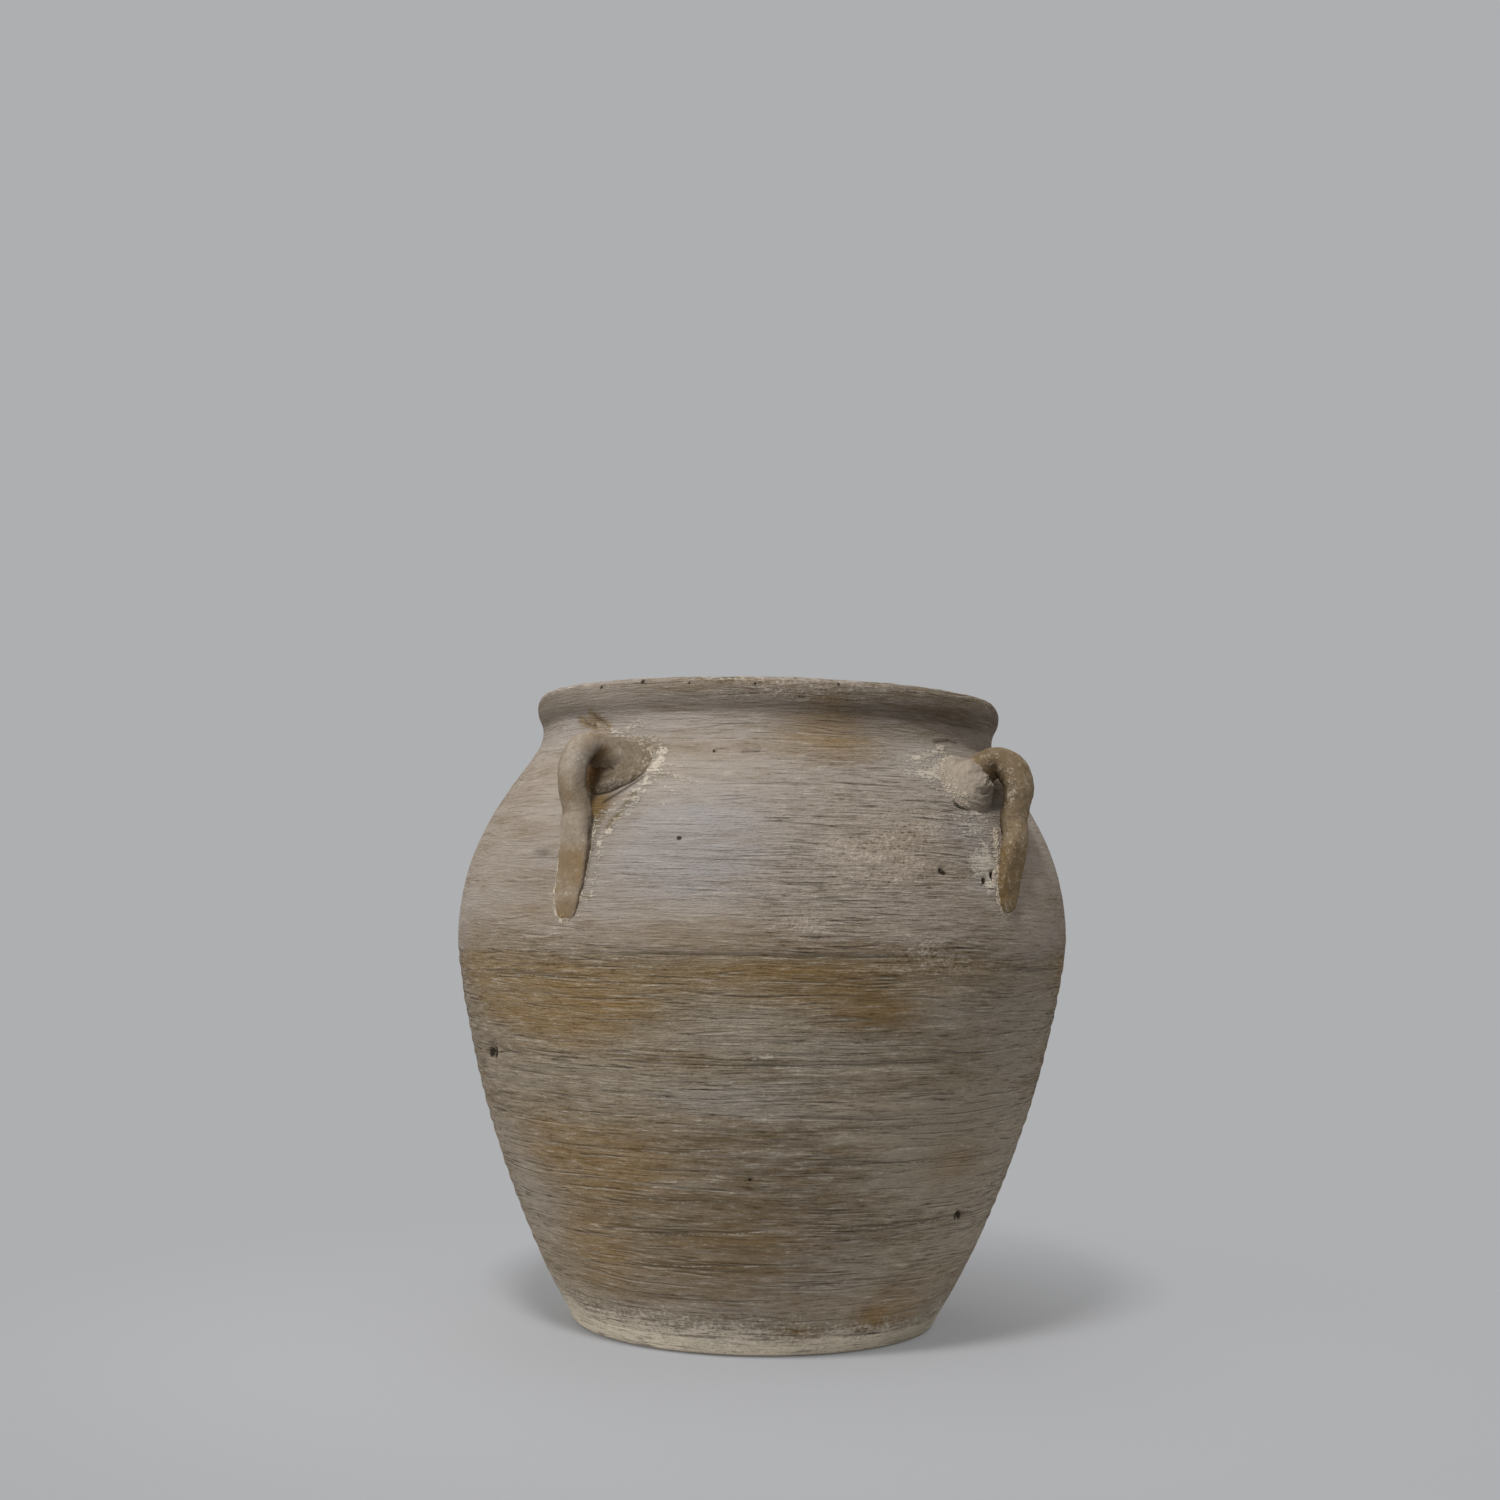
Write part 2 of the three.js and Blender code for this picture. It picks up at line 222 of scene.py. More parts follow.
@dataclass(frozen=True)
class JarOutline:
    """The line that the jar's outside follows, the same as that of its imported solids.

    Two cubic curves meet upright at the belly. The pulls are the control points between their ends.
    The mouth's points run over the lip's flat top and down inside it.
    """

    foot_radius: float = 87.4
    foot_top_radius: float = 91.2
    foot_band: float = 8.0
    foot_pull: tuple[float, float] = (133.9, 79.1)
    belly_radius: float = 148.8
    belly_height: float = 184.0
    belly_pull_under: float = 168.3
    belly_pull_over: float = 242.2
    waist_radius: float = 111.3
    waist_height: float = 281.0
    waist_pull: float = 264.9
    lip_radius: float = 114.4
    lip_height: float = 293.5
    lip_round: float = 4.4
    top: float = 300.0
    mouth: tuple[tuple[float, float], ...] = (
        (106.7, 300.2), (103.6, 299.6), (101.6, 298.6), (100.5, 296.6), (100.5, 292.0), (101.8, 281.5),
    )
    wall: float = 9.5
    floor: float = 12.0
    belly_seam: float = 177.0
    neck_seam: float = 274.5
    lap: float = 7.0
    gap: float = 0.3
    hairline: float = 0.03

    def outside(self) -> Array:
        """The wall's outside from the foot band to the waist.

        Returns:
            Dense rows of (radius, height).
        """
        foot = (self.foot_top_radius, self.foot_band)
        belly = (self.belly_radius, self.belly_height)
        waist = (self.waist_radius, self.waist_height)
        under, over = (self.belly_radius, self.belly_pull_under), (self.belly_radius, self.belly_pull_over)
        lower = cubic([foot, self.foot_pull, under, belly], 400)
        upper = cubic([belly, over, (self.waist_radius, self.waist_pull), waist], 400)
        return np.vstack([lower, upper[1:]])

    def inside(self) -> Array:
        """The outside moved inward by the wall's thickness, square to itself.

        Returns:
            Dense rows of (radius, height).
        """
        line = self.outside()
        along = np.gradient(line, axis=0)
        along /= np.linalg.norm(along, axis=1)[:, None]
        return np.stack([line[:, 0] - along[:, 1] * self.wall, line[:, 1] + along[:, 0] * self.wall], axis=1)

    def radius(self, heights: Array | float) -> Array:
        """The outside's radius at each height, read off the dense line."""
        line = self.outside()
        return np.interp(heights, line[:, 1], line[:, 0])

    def inner_radius(self, height: float) -> float:
        """The inside's radius at a height, read off its dense line."""
        line = self.inside()
        return float(np.interp(height, line[:, 1], line[:, 0]))

    def mid_radius(self, height: float) -> float:
        """The radius half way through the wall at a height."""
        return (float(self.radius(height)) + self.inner_radius(height)) / 2

    def stretch(self, line: Array, low: float, high: float, count: int) -> Array:
        """The part of a rising line between two heights, evenly spaced.

        Args:
            line: rows of (radius, height) with rising heights.
            low: the height to start at.
            high: the height to end at.
            count: how many points to return.

        Returns:
            An array of count rows.
        """
        order = np.argsort(line[:, 1])
        heights = np.linspace(low, high, 600)
        part = np.stack([np.interp(heights, line[order, 1], line[order, 0]), heights], axis=1)
        return evenly(part, count)

    def lip(self) -> Array:
        """The lip from the waist over the top and down the inside of the mouth.

        It swells out in a cubic curve, and a quarter of an ellipse rounds it off.

        Returns:
            Rows of (radius, height).
        """
        half_way = (self.waist_height + self.lip_height) / 2
        ends = ((self.waist_radius, self.waist_height), (self.lip_radius, self.lip_height))
        hollow = cubic([ends[0], (self.waist_radius, half_way), (self.lip_radius, half_way), ends[1]], 60)
        t = np.linspace(0, math.pi / 2, 30)[1:]
        out = self.lip_radius - self.lip_round + self.lip_round * np.cos(t)
        up = self.lip_height + (self.top - self.lip_height) * np.sin(t)
        return np.vstack([hollow, np.stack([out, up], axis=1), self.mouth])


OUTLINE = JarOutline()

# As it slumped on the wheel, the jar leaned this many millimetres toward this side at its top.
LEAN = 2.2
LEAN_TOWARD = np.array([0.804, 0.595])
# How far the rim falls for each millimetre out on the leaning side.
RIM_TIP = 0.0065


def settled(points: Array) -> Array:
    """Leans the jar a little and tips its rim.

    The shift is LEAN times (z / 300)^1.8, and the rim falls RIM_TIP of the distance that way.

    Args:
        points: rows of (x, y, z) in millimetres.

    Returns:
        The moved points.
    """
    height = np.clip(points[..., 2], 0, OUTLINE.top + 10)
    shift = LEAN * (height / OUTLINE.top) ** 1.8
    aside = points[..., :2] @ LEAN_TOWARD
    moved = points.copy()
    moved[..., :2] += shift[..., None] * LEAN_TOWARD
    moved[..., 2] -= RIM_TIP * aside * ease(225, 290, height)
    return moved


class Stain(Enum):
    """The coats that lie on the clay, and painted shade, which shares the sooty coat. Each is kept in the
    mesh as an attribute of its name.
    """

    WASH = "wash"
    CREAM = "cream"
    RUST = "rust"
    # Soot and painted shade: shade under the lip, at the belly seam's step, at the foot's contact line, in
    # dents and cracks, and in the handles' hollows.
    SOOT = "soot"
    COOL = "cool"
    FLECK = "fleck"


@dataclass(frozen=True)
class Patch:
    """A soft-edged stain at a place on the jar."""

    stain: Stain
    around: float
    height: float
    half_around: float
    half_height: float
    amount: float


@dataclass(frozen=True)
class Score:
    """A long shallow line that a grain of grit dragged in the wet clay."""

    start: float
    start_height: float
    end: float
    end_height: float
    half_width: float
    depth: float
    shown: float = 0.5


@dataclass(frozen=True)
class Pit:
    """A small hole left by a bubble or by grit that fell out."""

    around: float
    height: float
    radius: float


@dataclass(frozen=True)
class Smear:
    """A stroke of soft clay dragged over the wall, from one place to another."""

    stain: Stain
    start: float
    start_height: float
    end: float
    end_height: float
    half_width: float
    amount: float
    raised: float = 0.0


StainRows = dict[Stain, tuple[tuple[float, ...], ...]]

PATCH_ROWS: StainRows = {
    Stain.RUST: (
        (-6, 158, 15, 18, 0.85), (-24, 170, 10, 26, 0.4), (-12, 95, 12, 18, 0.35),
        (-6, 48, 12, 18, 0.5), (0.5, 155, 5, 8, 0.4), (4, 86, 15, 15, 0.65),
        (0.3, 79.6, 5, 7, 0.4), (57, 154, 9, 6.5, 0.55), (38, 171, 12, 3, 0.4),
        (7, 153, 12, 14, 0.45), (-5, 88, 11, 14, 0.4), (-1, 40, 10, 14, 0.35),
        (97, 257, 10, 12, 0.8), (48, 10, 9, 5, 0.5), (70, 16, 7, 12, 0.5), (81.4, 87.7, 9, 9, 0.5),
        (81.4, 18, 9, 9, 0.55), (-7.6, 195, 11, 5, 0.4), (50, 273, 12, 10, 0.95),
        (49, 290, 6, 6, 0.5), (-13, 256.7, 5, 4, 0.3), (2.5, 242, 2.6, 9, 1.0),
        (62, 228, 20, 26, 0.25),
    ),
    # Painted light: the wash patches at (-20, 60), (-26, 70), (72, 92), (92, 105) and (95, 152) brighten the
    # lower left, the lower right and the right edge, where the lamps leave the jar darker.
    Stain.WASH: (
        (52, 212, 16, 26, 0.16), (74, 262, 10, 9, 0.5), (-20, 60, 12, 30, 0.15),
        (7, 153, 11, 13, -0.2), (-5, 88, 11, 14, 0.1), (-1, 40, 10, 14, 0.1),
        (69, 156, 8, 10, 0.35), (32, 150, 10, 12, 0.2), (62, 38, 14, 16, 0.22),
        (-26, 70, 14, 40, 0.3), (92, 105, 17, 55, 0.55), (72, 92, 14, 22, 0.65),
        (95, 152, 10, 20, 0.75), (97, 258, 9, 10, -0.5), (48, 10, 9, 5, -0.5),
        (70, 16, 7, 12, -0.3), (2.5, 240, 2.6, 8, -0.6), (50, 273, 12, 10, -0.15),
        (30, 117, 17, 9, 0.34), (-15.4, 119, 9, 8, 0.2), (24, 222, 17, 24, 0.25),
        (-14, 232, 15, 30, 0.08), (62, 226, 20, 28, -0.08), (30, 62, 22, 30, -0.22),
        (50, 160, 15, 11, -0.24), (2, 82, 18, 17, -0.2), (79, 216, 4, 9, 0.5),
    ),
    Stain.COOL: (
        (28, 42, 22, 22, 0.6), (34, 8, 60, 8, 0.3), (-20, 8, 40, 8, -0.3), (24, 222, 15, 20, 1.0),
        (40, 70, 19, 36, 0.8), (33, 117, 12, 10, 0.4), (-8, 280, 40, 8, 0.35),
        (75, 229, 5, 14, 0.6), (79, 216, 4, 9, 0.8),
    ),
    Stain.SOOT: (
        # The darkening at (97, 258), with the lower wash there, is painted shade on the wall seen through
        # the right handle's loop.
        (57, 154, 9, 6, 0.14), (97, 258, 10, 11, 0.95), (52, 281, 12, 2.6, 0.22),
        (-6.5, 220, 1.6, 1.8, 0.5), (-8.6, 221, 1.2, 1.4, 0.35), (-8, 282, 4, 1.6, 0.4),
    ),
    Stain.FLECK: (
        (42, 294, 24, 7, 0.8), (60, 226, 22, 34, 0.72), (41, 191, 7, 12, 0.6),
        (-6, 182, 14, 7, 0.2), (68, 184, 14, 12, 0.4),
    ),
    Stain.CREAM: (
        (36, 293, 20, 4, 0.3), (48, 10, 9, 5, -0.5), (70, 16, 7, 12, -0.3),
        (79, 216, 2.8, 6.0, 1.0), (76.5, 233, 4, 9, 0.3),
    ),
}
SMEAR_ROWS: StainRows = {
    Stain.CREAM: (
        (12.6, 265.5, 13.2, 257.5, 3.0, 0.46, 0.8), (13.0, 261.0, 9.2, 241.5, 3.0, 0.42, 0.8),
        (11.6, 252.0, 11.2, 238.5, 2.2, 0.32, 0.5), (8.7, 237.5, 7.2, 229.6, 1.8, 0.42, 0.5),
        (7.2, 229.6, 5.7, 224.4, 1.4, 0.42, 0.5), (5.9, 224.4, 6.5, 218.0, 1.3, 0.46, 0.5),
        (6.5, 218.0, 6.2, 201.0, 1.1, 0.46, 0.4), (6.2, 201.0, 3.4, 191.0, 0.9, 0.42, 0.3),
        (13.5, 265.4, 17.0, 264.0, 1.1, 0.4, 0.4), (14.5, 259.5, 20.5, 258.2, 0.9, 0.3, 0.3),
        (14.0, 256.2, 23.7, 249.7, 1.2, 0.4, 0.5), (13.5, 251.5, 19.0, 246.8, 1.1, 0.34, 0.4),
        (12.5, 247.0, 17.0, 241.0, 1.1, 0.28, 0.4), (-3.5, 275.3, 6.7, 278.2, 1.0, 0.4, 0.3),
        (2.6, 279.0, 5.8, 280.6, 0.7, 0.32, 0.2), (-1.0, 273.6, 9.5, 272.4, 1.3, 0.38, 0.4),
        (9.5, 272.4, 13.0, 267.5, 1.5, 0.4, 0.5), (-12.0, 281.0, 3.0, 274.5, 1.0, 0.28, 0.3),
        (4.6, 239.0, 3.2, 232.5, 1.4, 0.4, 0.2), (6.8, 241.0, 4.6, 232.5, 1.4, 0.4),
        (61.0, 266.5, 75.0, 263.5, 2.6, 0.3, 0.3), (70.5, 266.4, 81.0, 272.2, 1.7, 0.7, 0.5),
        (71.6, 258.2, 81.0, 265.6, 2.8, 0.75, 0.6), (66.0, 259.5, 77.0, 257.0, 1.6, 0.5, 0.4),
        (71.2, 253.2, 77.1, 246.0, 1.3, 0.42, 0.5), (71.6, 244.6, 75.1, 236.2, 1.1, 0.36, 0.4),
        (75.5, 245.0, 84.0, 239.5, 1.6, 0.4, 0.5), (80.0, 240.0, 83.2, 229.0, 4.6, 0.3, 0.4),
        (77.6, 237.0, 80.2, 226.0, 1.1, 0.34, 0.4), (77.6, 219.5, 79.6, 209.5, 3.4, 1.0, 0.7),
        (80.0, 226.0, 81.0, 216.0, 2.2, 0.6, 0.5), (75.6, 217.5, 78.4, 213.0, 2.6, 1.0, 0.6),
        (82.5, 223.0, 84.0, 212.0, 1.8, 0.9, 0.8), (84.0, 212.0, 82.8, 200.0, 1.0, 0.6, 0.4),
        (77.5, 273.6, 85.0, 274.6, 0.8, 0.36, 0.4), (34.4, 134.2, 38.2, 135.0, 1.2, 0.8, 1.4),
    ),
    Stain.COOL: (
        (80.0, 240.0, 80.5, 222.0, 6.0, 0.5), (10.8, 245.5, 7.2, 233.0, 2.0, 0.9),
    ),
    Stain.WASH: (
        (10.6, 246.5, 7.0, 232.0, 1.5, -0.45), (-15.3, 282.8, -8.6, 278.7, 2.0, -0.4),
        (-10.7, 285.2, -4.5, 278.7, 1.8, -0.4),
    ),
    Stain.SOOT: (
        # Painted shade: (10.9, 253.5) to (4, 242.6) is the dark line under the front wad's overhanging lower
        # edge, and (10.4, 246) to (7, 233) darkens a grey band below it. The strokes with a negative raise
        # darken their own dents and cracks, as painted shade in them.
        (10.4, 246.0, 7.0, 233.0, 1.2, 0.16), (10.9, 253.5, 4.0, 242.6, 0.7, 0.8),
        (76.2, 245.8, 79.4, 243.4, 1.2, 1.0, -3.0), (78.7, 275.0, 84.0, 276.8, 0.6, 0.5, -0.6),
        (84.0, 276.8, 87.5, 276.2, 0.6, 0.5, -0.6), (-13.5, 281.8, -8.6, 278.7, 0.7, 0.45, -0.6),
        (-9.7, 284.0, -5.0, 279.2, 0.6, 0.45, -0.6), (31.0, 265.6, 34.2, 265.9, 0.45, 0.9, -1.0),
        (33.4, 136.6, 36.6, 134.4, 0.5, 0.7, -0.6),
    ),
    Stain.RUST: (
        (-15.3, 282.8, -8.6, 278.7, 2.0, 0.5), (-10.7, 285.2, -4.5, 278.7, 1.8, 0.5),
        (-8.6, 278.7, -3.5, 274.5, 1.6, 0.5),
    ),
}
SCORE_ROWS: tuple[tuple[float, ...], ...] = (
    (6.5, 55.5, 41.4, 59.9, 0.75, 0.5), (47.9, 60.3, 96, 62.0, 0.75, 0.5),
    (8.7, 41.8, 53.5, 44.9, 0.6, 0.4), (44.8, 33.6, 59.6, 35.9, 0.9, 0.7),
    (59.6, 35.9, 75.7, 35.7, 0.8, 0.6), (-14, 92.5, 30, 93.5, 0.6, 0.35),
    (18, 140.5, 62, 142.2, 0.55, 0.35), (24, 131.0, 74, 133.0, 0.6, 0.4),
    (-20, 166.5, 12, 167.3, 0.6, 0.35), (50, 104.8, 88, 105.5, 0.55, 0.35),
    (16, 227.2, 33, 228.4, 0.35, 0.15), (-12, 107.5, 22, 108.6, 0.5, 0.3),
    (4, 71.0, 34, 72.4, 0.55, 0.35), (30, 118.6, 66, 120.4, 0.45, 0.3),
    (-2, 148.6, 36, 149.8, 0.45, 0.3), (40, 88.0, 78, 89.6, 0.5, 0.3),
    (12, 26.0, 46, 27.4, 0.5, 0.3),
)
PIT_ROWS: tuple[tuple[float, ...], ...] = (
    (21.6, 226.6, 1.0), (-24.9, 129.8, 2.7), (-23.6, 131.6, 1.8), (-27.2, 129.4, 2.4),
    (87.8, 60.7, 1.9), (89.4, 60.7, 2.0), (35.0, 82.0, 0.8), (68.5, 214.9, 1.4),
    (69.4, 214.0, 1.1), (100.3, 73.0, 0.9), (25.6, 265.9, 0.8), (6.7, 298.3, 1.2),
    (34.1, 296.3, 0.9), (53.0, 297.2, 0.9), (80.8, 213.6, 2.0), (78.4, 211.2, 1.8),
    (-5.5, 297.0, 0.9), (19.0, 296.8, 0.7), (44.0, 291.0, 0.6),
)
PATCHES = tuple(Patch(stain, *row) for stain, rows in PATCH_ROWS.items() for row in rows)
SMEARS = tuple(Smear(stain, *row) for stain, rows in SMEAR_ROWS.items() for row in rows)
SCORES = tuple(Score(*row) for row in SCORE_ROWS)
PITS = tuple(Pit(*row) for row in PIT_ROWS)

# Millimetres in one degree round the jar, at a radius of 140 mm, near the belly.
MM_PER_DEGREE = 2.45


@dataclass(frozen=True)
class PotterTouch:
    """How the potter's hands and brush left places on the outside: their relief and their coats.

    The angles are in degrees. The heights are in millimetres, and past the lip's top they go on along
    its inside. Both are grids of one shape.
    """

    angles: Array
    heights: Array
    seed: int = 7

    def noise(self, kind: int, *lattice: float) -> Array:
        """Noise of 0 to 1 with a seed of its own for each kind of use, as ClayNoise spreads it."""
        return ClayNoise(self.seed * 100 + kind).spread(self.angles, self.heights, *lattice)

    def seam_rise(self) -> Array:
        """How far the belly seam stands above its mean height, from -0.7 on the left to 0.8."""
        slow, fast = np.radians(self.angles - 8), np.radians(3 * self.angles + 20)
        return 0.75 * np.sin(slow) + 0.2 * np.sin(fast)

    def seam_share(self) -> Array:
        """How plainly the belly seam shows: 1 where it was left sharp, near 0 where it was smoothed.

        Returns:
            Values of 0.12 to 1.
        """
        wander = ClayNoise(self.seed * 100 + 9).spread(self.angles, 0.0, 9, 90, 2)
        front = bump(angle_from(self.angles, 36), 0, 26)
        return np.clip(ease(0.45, 0.75, wander) * 0.6 + front, 0.12, 1)

    def relief(self) -> Array:
        """How far the outside stands proud of its line.

        It sums a low wobble, spiral ribs whose phase gains a pitch each turn, fine drag lines, grit,
        the step and cut at the belly seam, the neck's groove, a lumpy and chipped lip, scores, pits
        and smears of luting clay.

        Returns:
            Millimetres along the surface's normal.
        """
        angles, heights = self.angles, self.heights
        below = 1 - ease(174, 181, heights)
        wobble = 0.9 * (self.noise(1, 5, 90, 2) - 0.5)
        wander = 1.6 * self.noise(2, 6, 40, 2)
        strength = self.noise(3, 5, 30, 2)
        ribs = np.sin(TURN * (heights / 7.2 - angles / 360 + wander)) * (0.05 + 0.18 * below) * strength
        drag = (self.noise(4, 26, 2.8, 2) - 0.5) * (0.10 + 0.52 * below)
        grit = (self.noise(5, 150, 5, 2) - 0.5) * 0.16
        body = ease(3, 9, heights) * (1 - ease(276, 284, heights))
        above = heights - OUTLINE.belly_seam - self.seam_rise()
        shown = self.seam_share()
        step = 0.60 * shown * ease(-0.2, 0.8, above) * (1 - ease(1.6, 22, above))
        cut = -0.50 * shown * bump(above, -0.4, 1.2)
        neck = -0.16 * bump(heights, OUTLINE.neck_seam, 1.4)
        lip = 0.5 * (self.noise(6, 14, 9, 3) - 0.5) * ease(279, 286, heights)
        chips = 0.7 * (self.noise(11, 120, 4, 3) - 0.5) * ease(291, 297, heights)
        total = wobble + (ribs + drag) * body + grit + step + cut + neck + lip + chips
        total = total + self.marks() + self.luting()
        return total * ease(-0.5, 2.5, heights)

    def marks(self) -> Array:
        """The scores and pits as grooves and dents, each a bell across its line or centre.

        Returns:
            Millimetres, below 0.
        """
        angles, heights = self.angles, self.heights
        total = np.zeros(heights.shape)
        for score in SCORES:
            share = angle_from(angles, score.start) / angle_from(np.array(score.end), score.start)
            line = score.start_height + share * (score.end_height - score.start_height)
            along = ease(-0.02, 0.08, share) * (1 - ease(0.92, 1.02, share))
            total -= score.depth * along * bump(heights, line, score.half_width + 0.4)
        for pit in PITS:
            across = angle_from(angles, pit.around) * MM_PER_DEGREE
            distance = np.hypot(across, heights - pit.height)
            total -= 1.5 * pit.radius * bump(distance, 0, pit.radius + 0.25)
        return total

    def stroke(self, smear: Smear) -> Array:
        """How near each place is to a smear: a bell across the distance to its stretch.

        Args:
            smear: the stroke.

        Returns:
            Values of 0 to 1.
        """
        scale = float(OUTLINE.radius(smear.start_height)) * math.pi / 180
        run = (smear.end - smear.start) * scale
        climb = smear.end_height - smear.start_height
        across = angle_from(self.angles, smear.start) * scale
        up = self.heights - smear.start_height
        share = np.clip((across * run + up * climb) / (run**2 + climb**2), 0, 1)
        distance = np.hypot(across - share * run, up - share * climb)
        return bump(distance, 0, smear.half_width * 1.15)

    def luting(self) -> Array:
        """The height of the smeared clay, broken into crumbs.

        Returns:
            Millimetres.
        """
        rough = self.noise(8, 130, 5, 3)
        raised = [smear for smear in SMEARS if smear.raised]
        total = sum(smear.raised * self.stroke(smear) for smear in raised)
        return total * (0.25 + 0.5 * ease(0.3, 0.7, rough))

    def coats(self) -> dict[Stain, Array]:
        """How thickly each coat lies at each place.

        Each coat is a clouded ground with what the foot, the seam and the lip add to it, and then
        come the patches, with ragged edges, and the smears, crumbled. Some of the darkening is painted
        shade: on the lip, which looks downward, on the neck and lip turned from the light, at the
        seam's step and at the foot's contact line.

        Returns:
            For each stain, values of 0 to 1.
        """
        angles, heights = self.angles, self.heights
        below = 1 - ease(172, 184, heights)
        cloud = self.noise(20, 7, 55, 3)
        brushed = self.noise(21, 14, 9, 3, 0.6)
        daub = self.noise(22, 16, 9, 4, 0.6)
        sooty = self.noise(24, 20, 30, 2)
        lip = ease(282.5, 285, heights) * (1 - ease(296.5, 299.5, heights))
        foot = 1 - ease(6, 13, heights)
        # Painted shade: the lip and the neck are darker on the side turned from the light, from 15 degrees
        # round on.
        turned_away = angle_from(angles, 0)
        shade = ease(15, 85, turned_away) * (1 - ease(120, 175, turned_away))
        seam = self.seam_share()
        above = heights - OUTLINE.belly_seam - self.seam_rise()
        wash = 0.48 + 0.18 * ease(176, 200, heights) + 0.45 * (cloud - 0.5) + 0.35 * (brushed - 0.5)
        # Paler toward the foot: a pale wash there, partly painted light standing in for the floor's bounce.
        wash = wash + 0.5 * foot + 0.35 * (1 - ease(8, 34, heights)) - 0.08 * lip - 0.04 * below
        rust = 0.22 + 0.45 * (self.noise(23, 9, 40, 3) - 0.5)
        rust = rust + 0.22 * bump(heights, 166, 12) + 0.1 * below
        cream = 0.6 * (1 - ease(8, 30, heights)) * ease(0.36, 0.58, daub)
        cream = cream + 0.4 * (1 - ease(8, 17, heights))
        cream = cream + (0.1 + 0.4 * ease(0.42, 0.65, daub)) * ease(296, 300, heights)
        # The dark line just under the belly seam is partly painted shade, under the step that the shoulder
        # makes over the lower wall.
        soot = 0.5 * seam * bump(above, -0.6, 0.9) * ease(0.25, 0.75, sooty)
        soot = soot + 0.3 * bump(above, -3.5, 3.0) * seam * ease(0.3, 0.7, sooty)
        # The lip's darkening is partly its own darker clay and partly painted shade, as its outer face looks
        # downward, and more on the side turned from the light.
        soot = soot + lip * (0.33 + 0.2 * shade + 0.3 * (sooty - 0.5))
        soot = soot + 0.24 * shade * ease(270, 276, heights) * (1 - lip)
        # Painted shade: a thin dark line at the very bottom, the contact shadow where the foot meets the
        # floor.
        soot = soot + 0.8 * (1 - ease(0.2, 1.4, heights))
        cool = 0.3 + 0.5 * (self.noise(25, 6, 60, 2) - 0.5)
        fleck = 0.22 + 0.3 * (self.noise(26, 10, 30, 2) - 0.5) + 0.4 * below
        found = dict(zip(Stain, (wash, cream, rust, soot, cool, fleck)))
        ragged = 0.25 + 1.5 * self.noise(27, 14, 6, 4, 0.6)
        for patch in PATCHES + self.hidden_patches():
            here = bump(angle_from(angles, patch.around), 0, patch.half_around)
            here = here * bump(heights, patch.height, patch.half_height) * ragged
            found[patch.stain] = found[patch.stain] + patch.amount * here
        crumbled = 0.65 + 0.7 * self.noise(10, 110, 4, 3)
        for smear in SMEARS:
            here = smear.amount * self.stroke(smear) * crumbled
            found[smear.stain] = found[smear.stain] + here
        found[Stain.FLECK] = found[Stain.FLECK] + 0.4 * ease(293, 298, heights)
        return {stain: np.clip(value, 0, 1) for stain, value in found.items()}

    def hidden_patches(self) -> tuple[Patch, ...]:
        """Stains for the sides that the photograph doesn't show, of the same kinds and sizes.

        Returns:
            Patches of three kinds in turn.
        """
        source = np.random.default_rng(self.seed)
        kinds = (Stain.RUST, Stain.WASH, Stain.COOL)
        ranges = ((118, 200), (25, 235), (9, 9), (7, 14), (0.3, 0.35))
        count = 28
        return tuple(
            Patch(kinds[k % len(kinds)], *(low + span * source.random() for low, span in ranges))
            for k in range(count)
        )


def oriented(points: Array, faces: Array) -> Array:
    """Turns every face over if the closed mesh that they make is inside out.

    The signed volume is a sixth of the sum of a . (b x c) over the triangles.

    Args:
        points: vertex rows.
        faces: rows of three or four vertex numbers. A triangle repeats its last one.

    Returns:
        The faces, pointing outward.
    """
    a, b, c, d = (points[faces[:, k]] for k in range(4))
    volume = np.einsum("ij,ij->", a, np.cross(b, c)) + np.einsum("ij,ij->", a, np.cross(c, d))
    return faces if volume > 0 else faces[:, ::-1]


def ring_faces(rows: int, columns: int, closed: bool) -> Array:
    """Quads of a grid that closes round its columns, and round its rows too if closed.

    Args:
        rows: how many rows of points the grid has.
        columns: how many points a row has.
        closed: whether the last row joins the first.

    Returns:
        Rows of four vertex numbers.
    """
    i = np.arange(rows if closed else rows - 1)[:, None]
    j = np.arange(columns)[None, :]
    above, beside = (i + 1) % rows, (j + 1) % columns
    corners = [i * columns + j, i * columns + beside, above * columns + beside, above * columns + j]
    return np.stack([np.broadcast_to(c, (i.size, columns)).ravel() for c in corners], axis=1)


# Faces that meet at a sharper angle than this are shaded with a crease between them, in degrees.
CREASE = 50


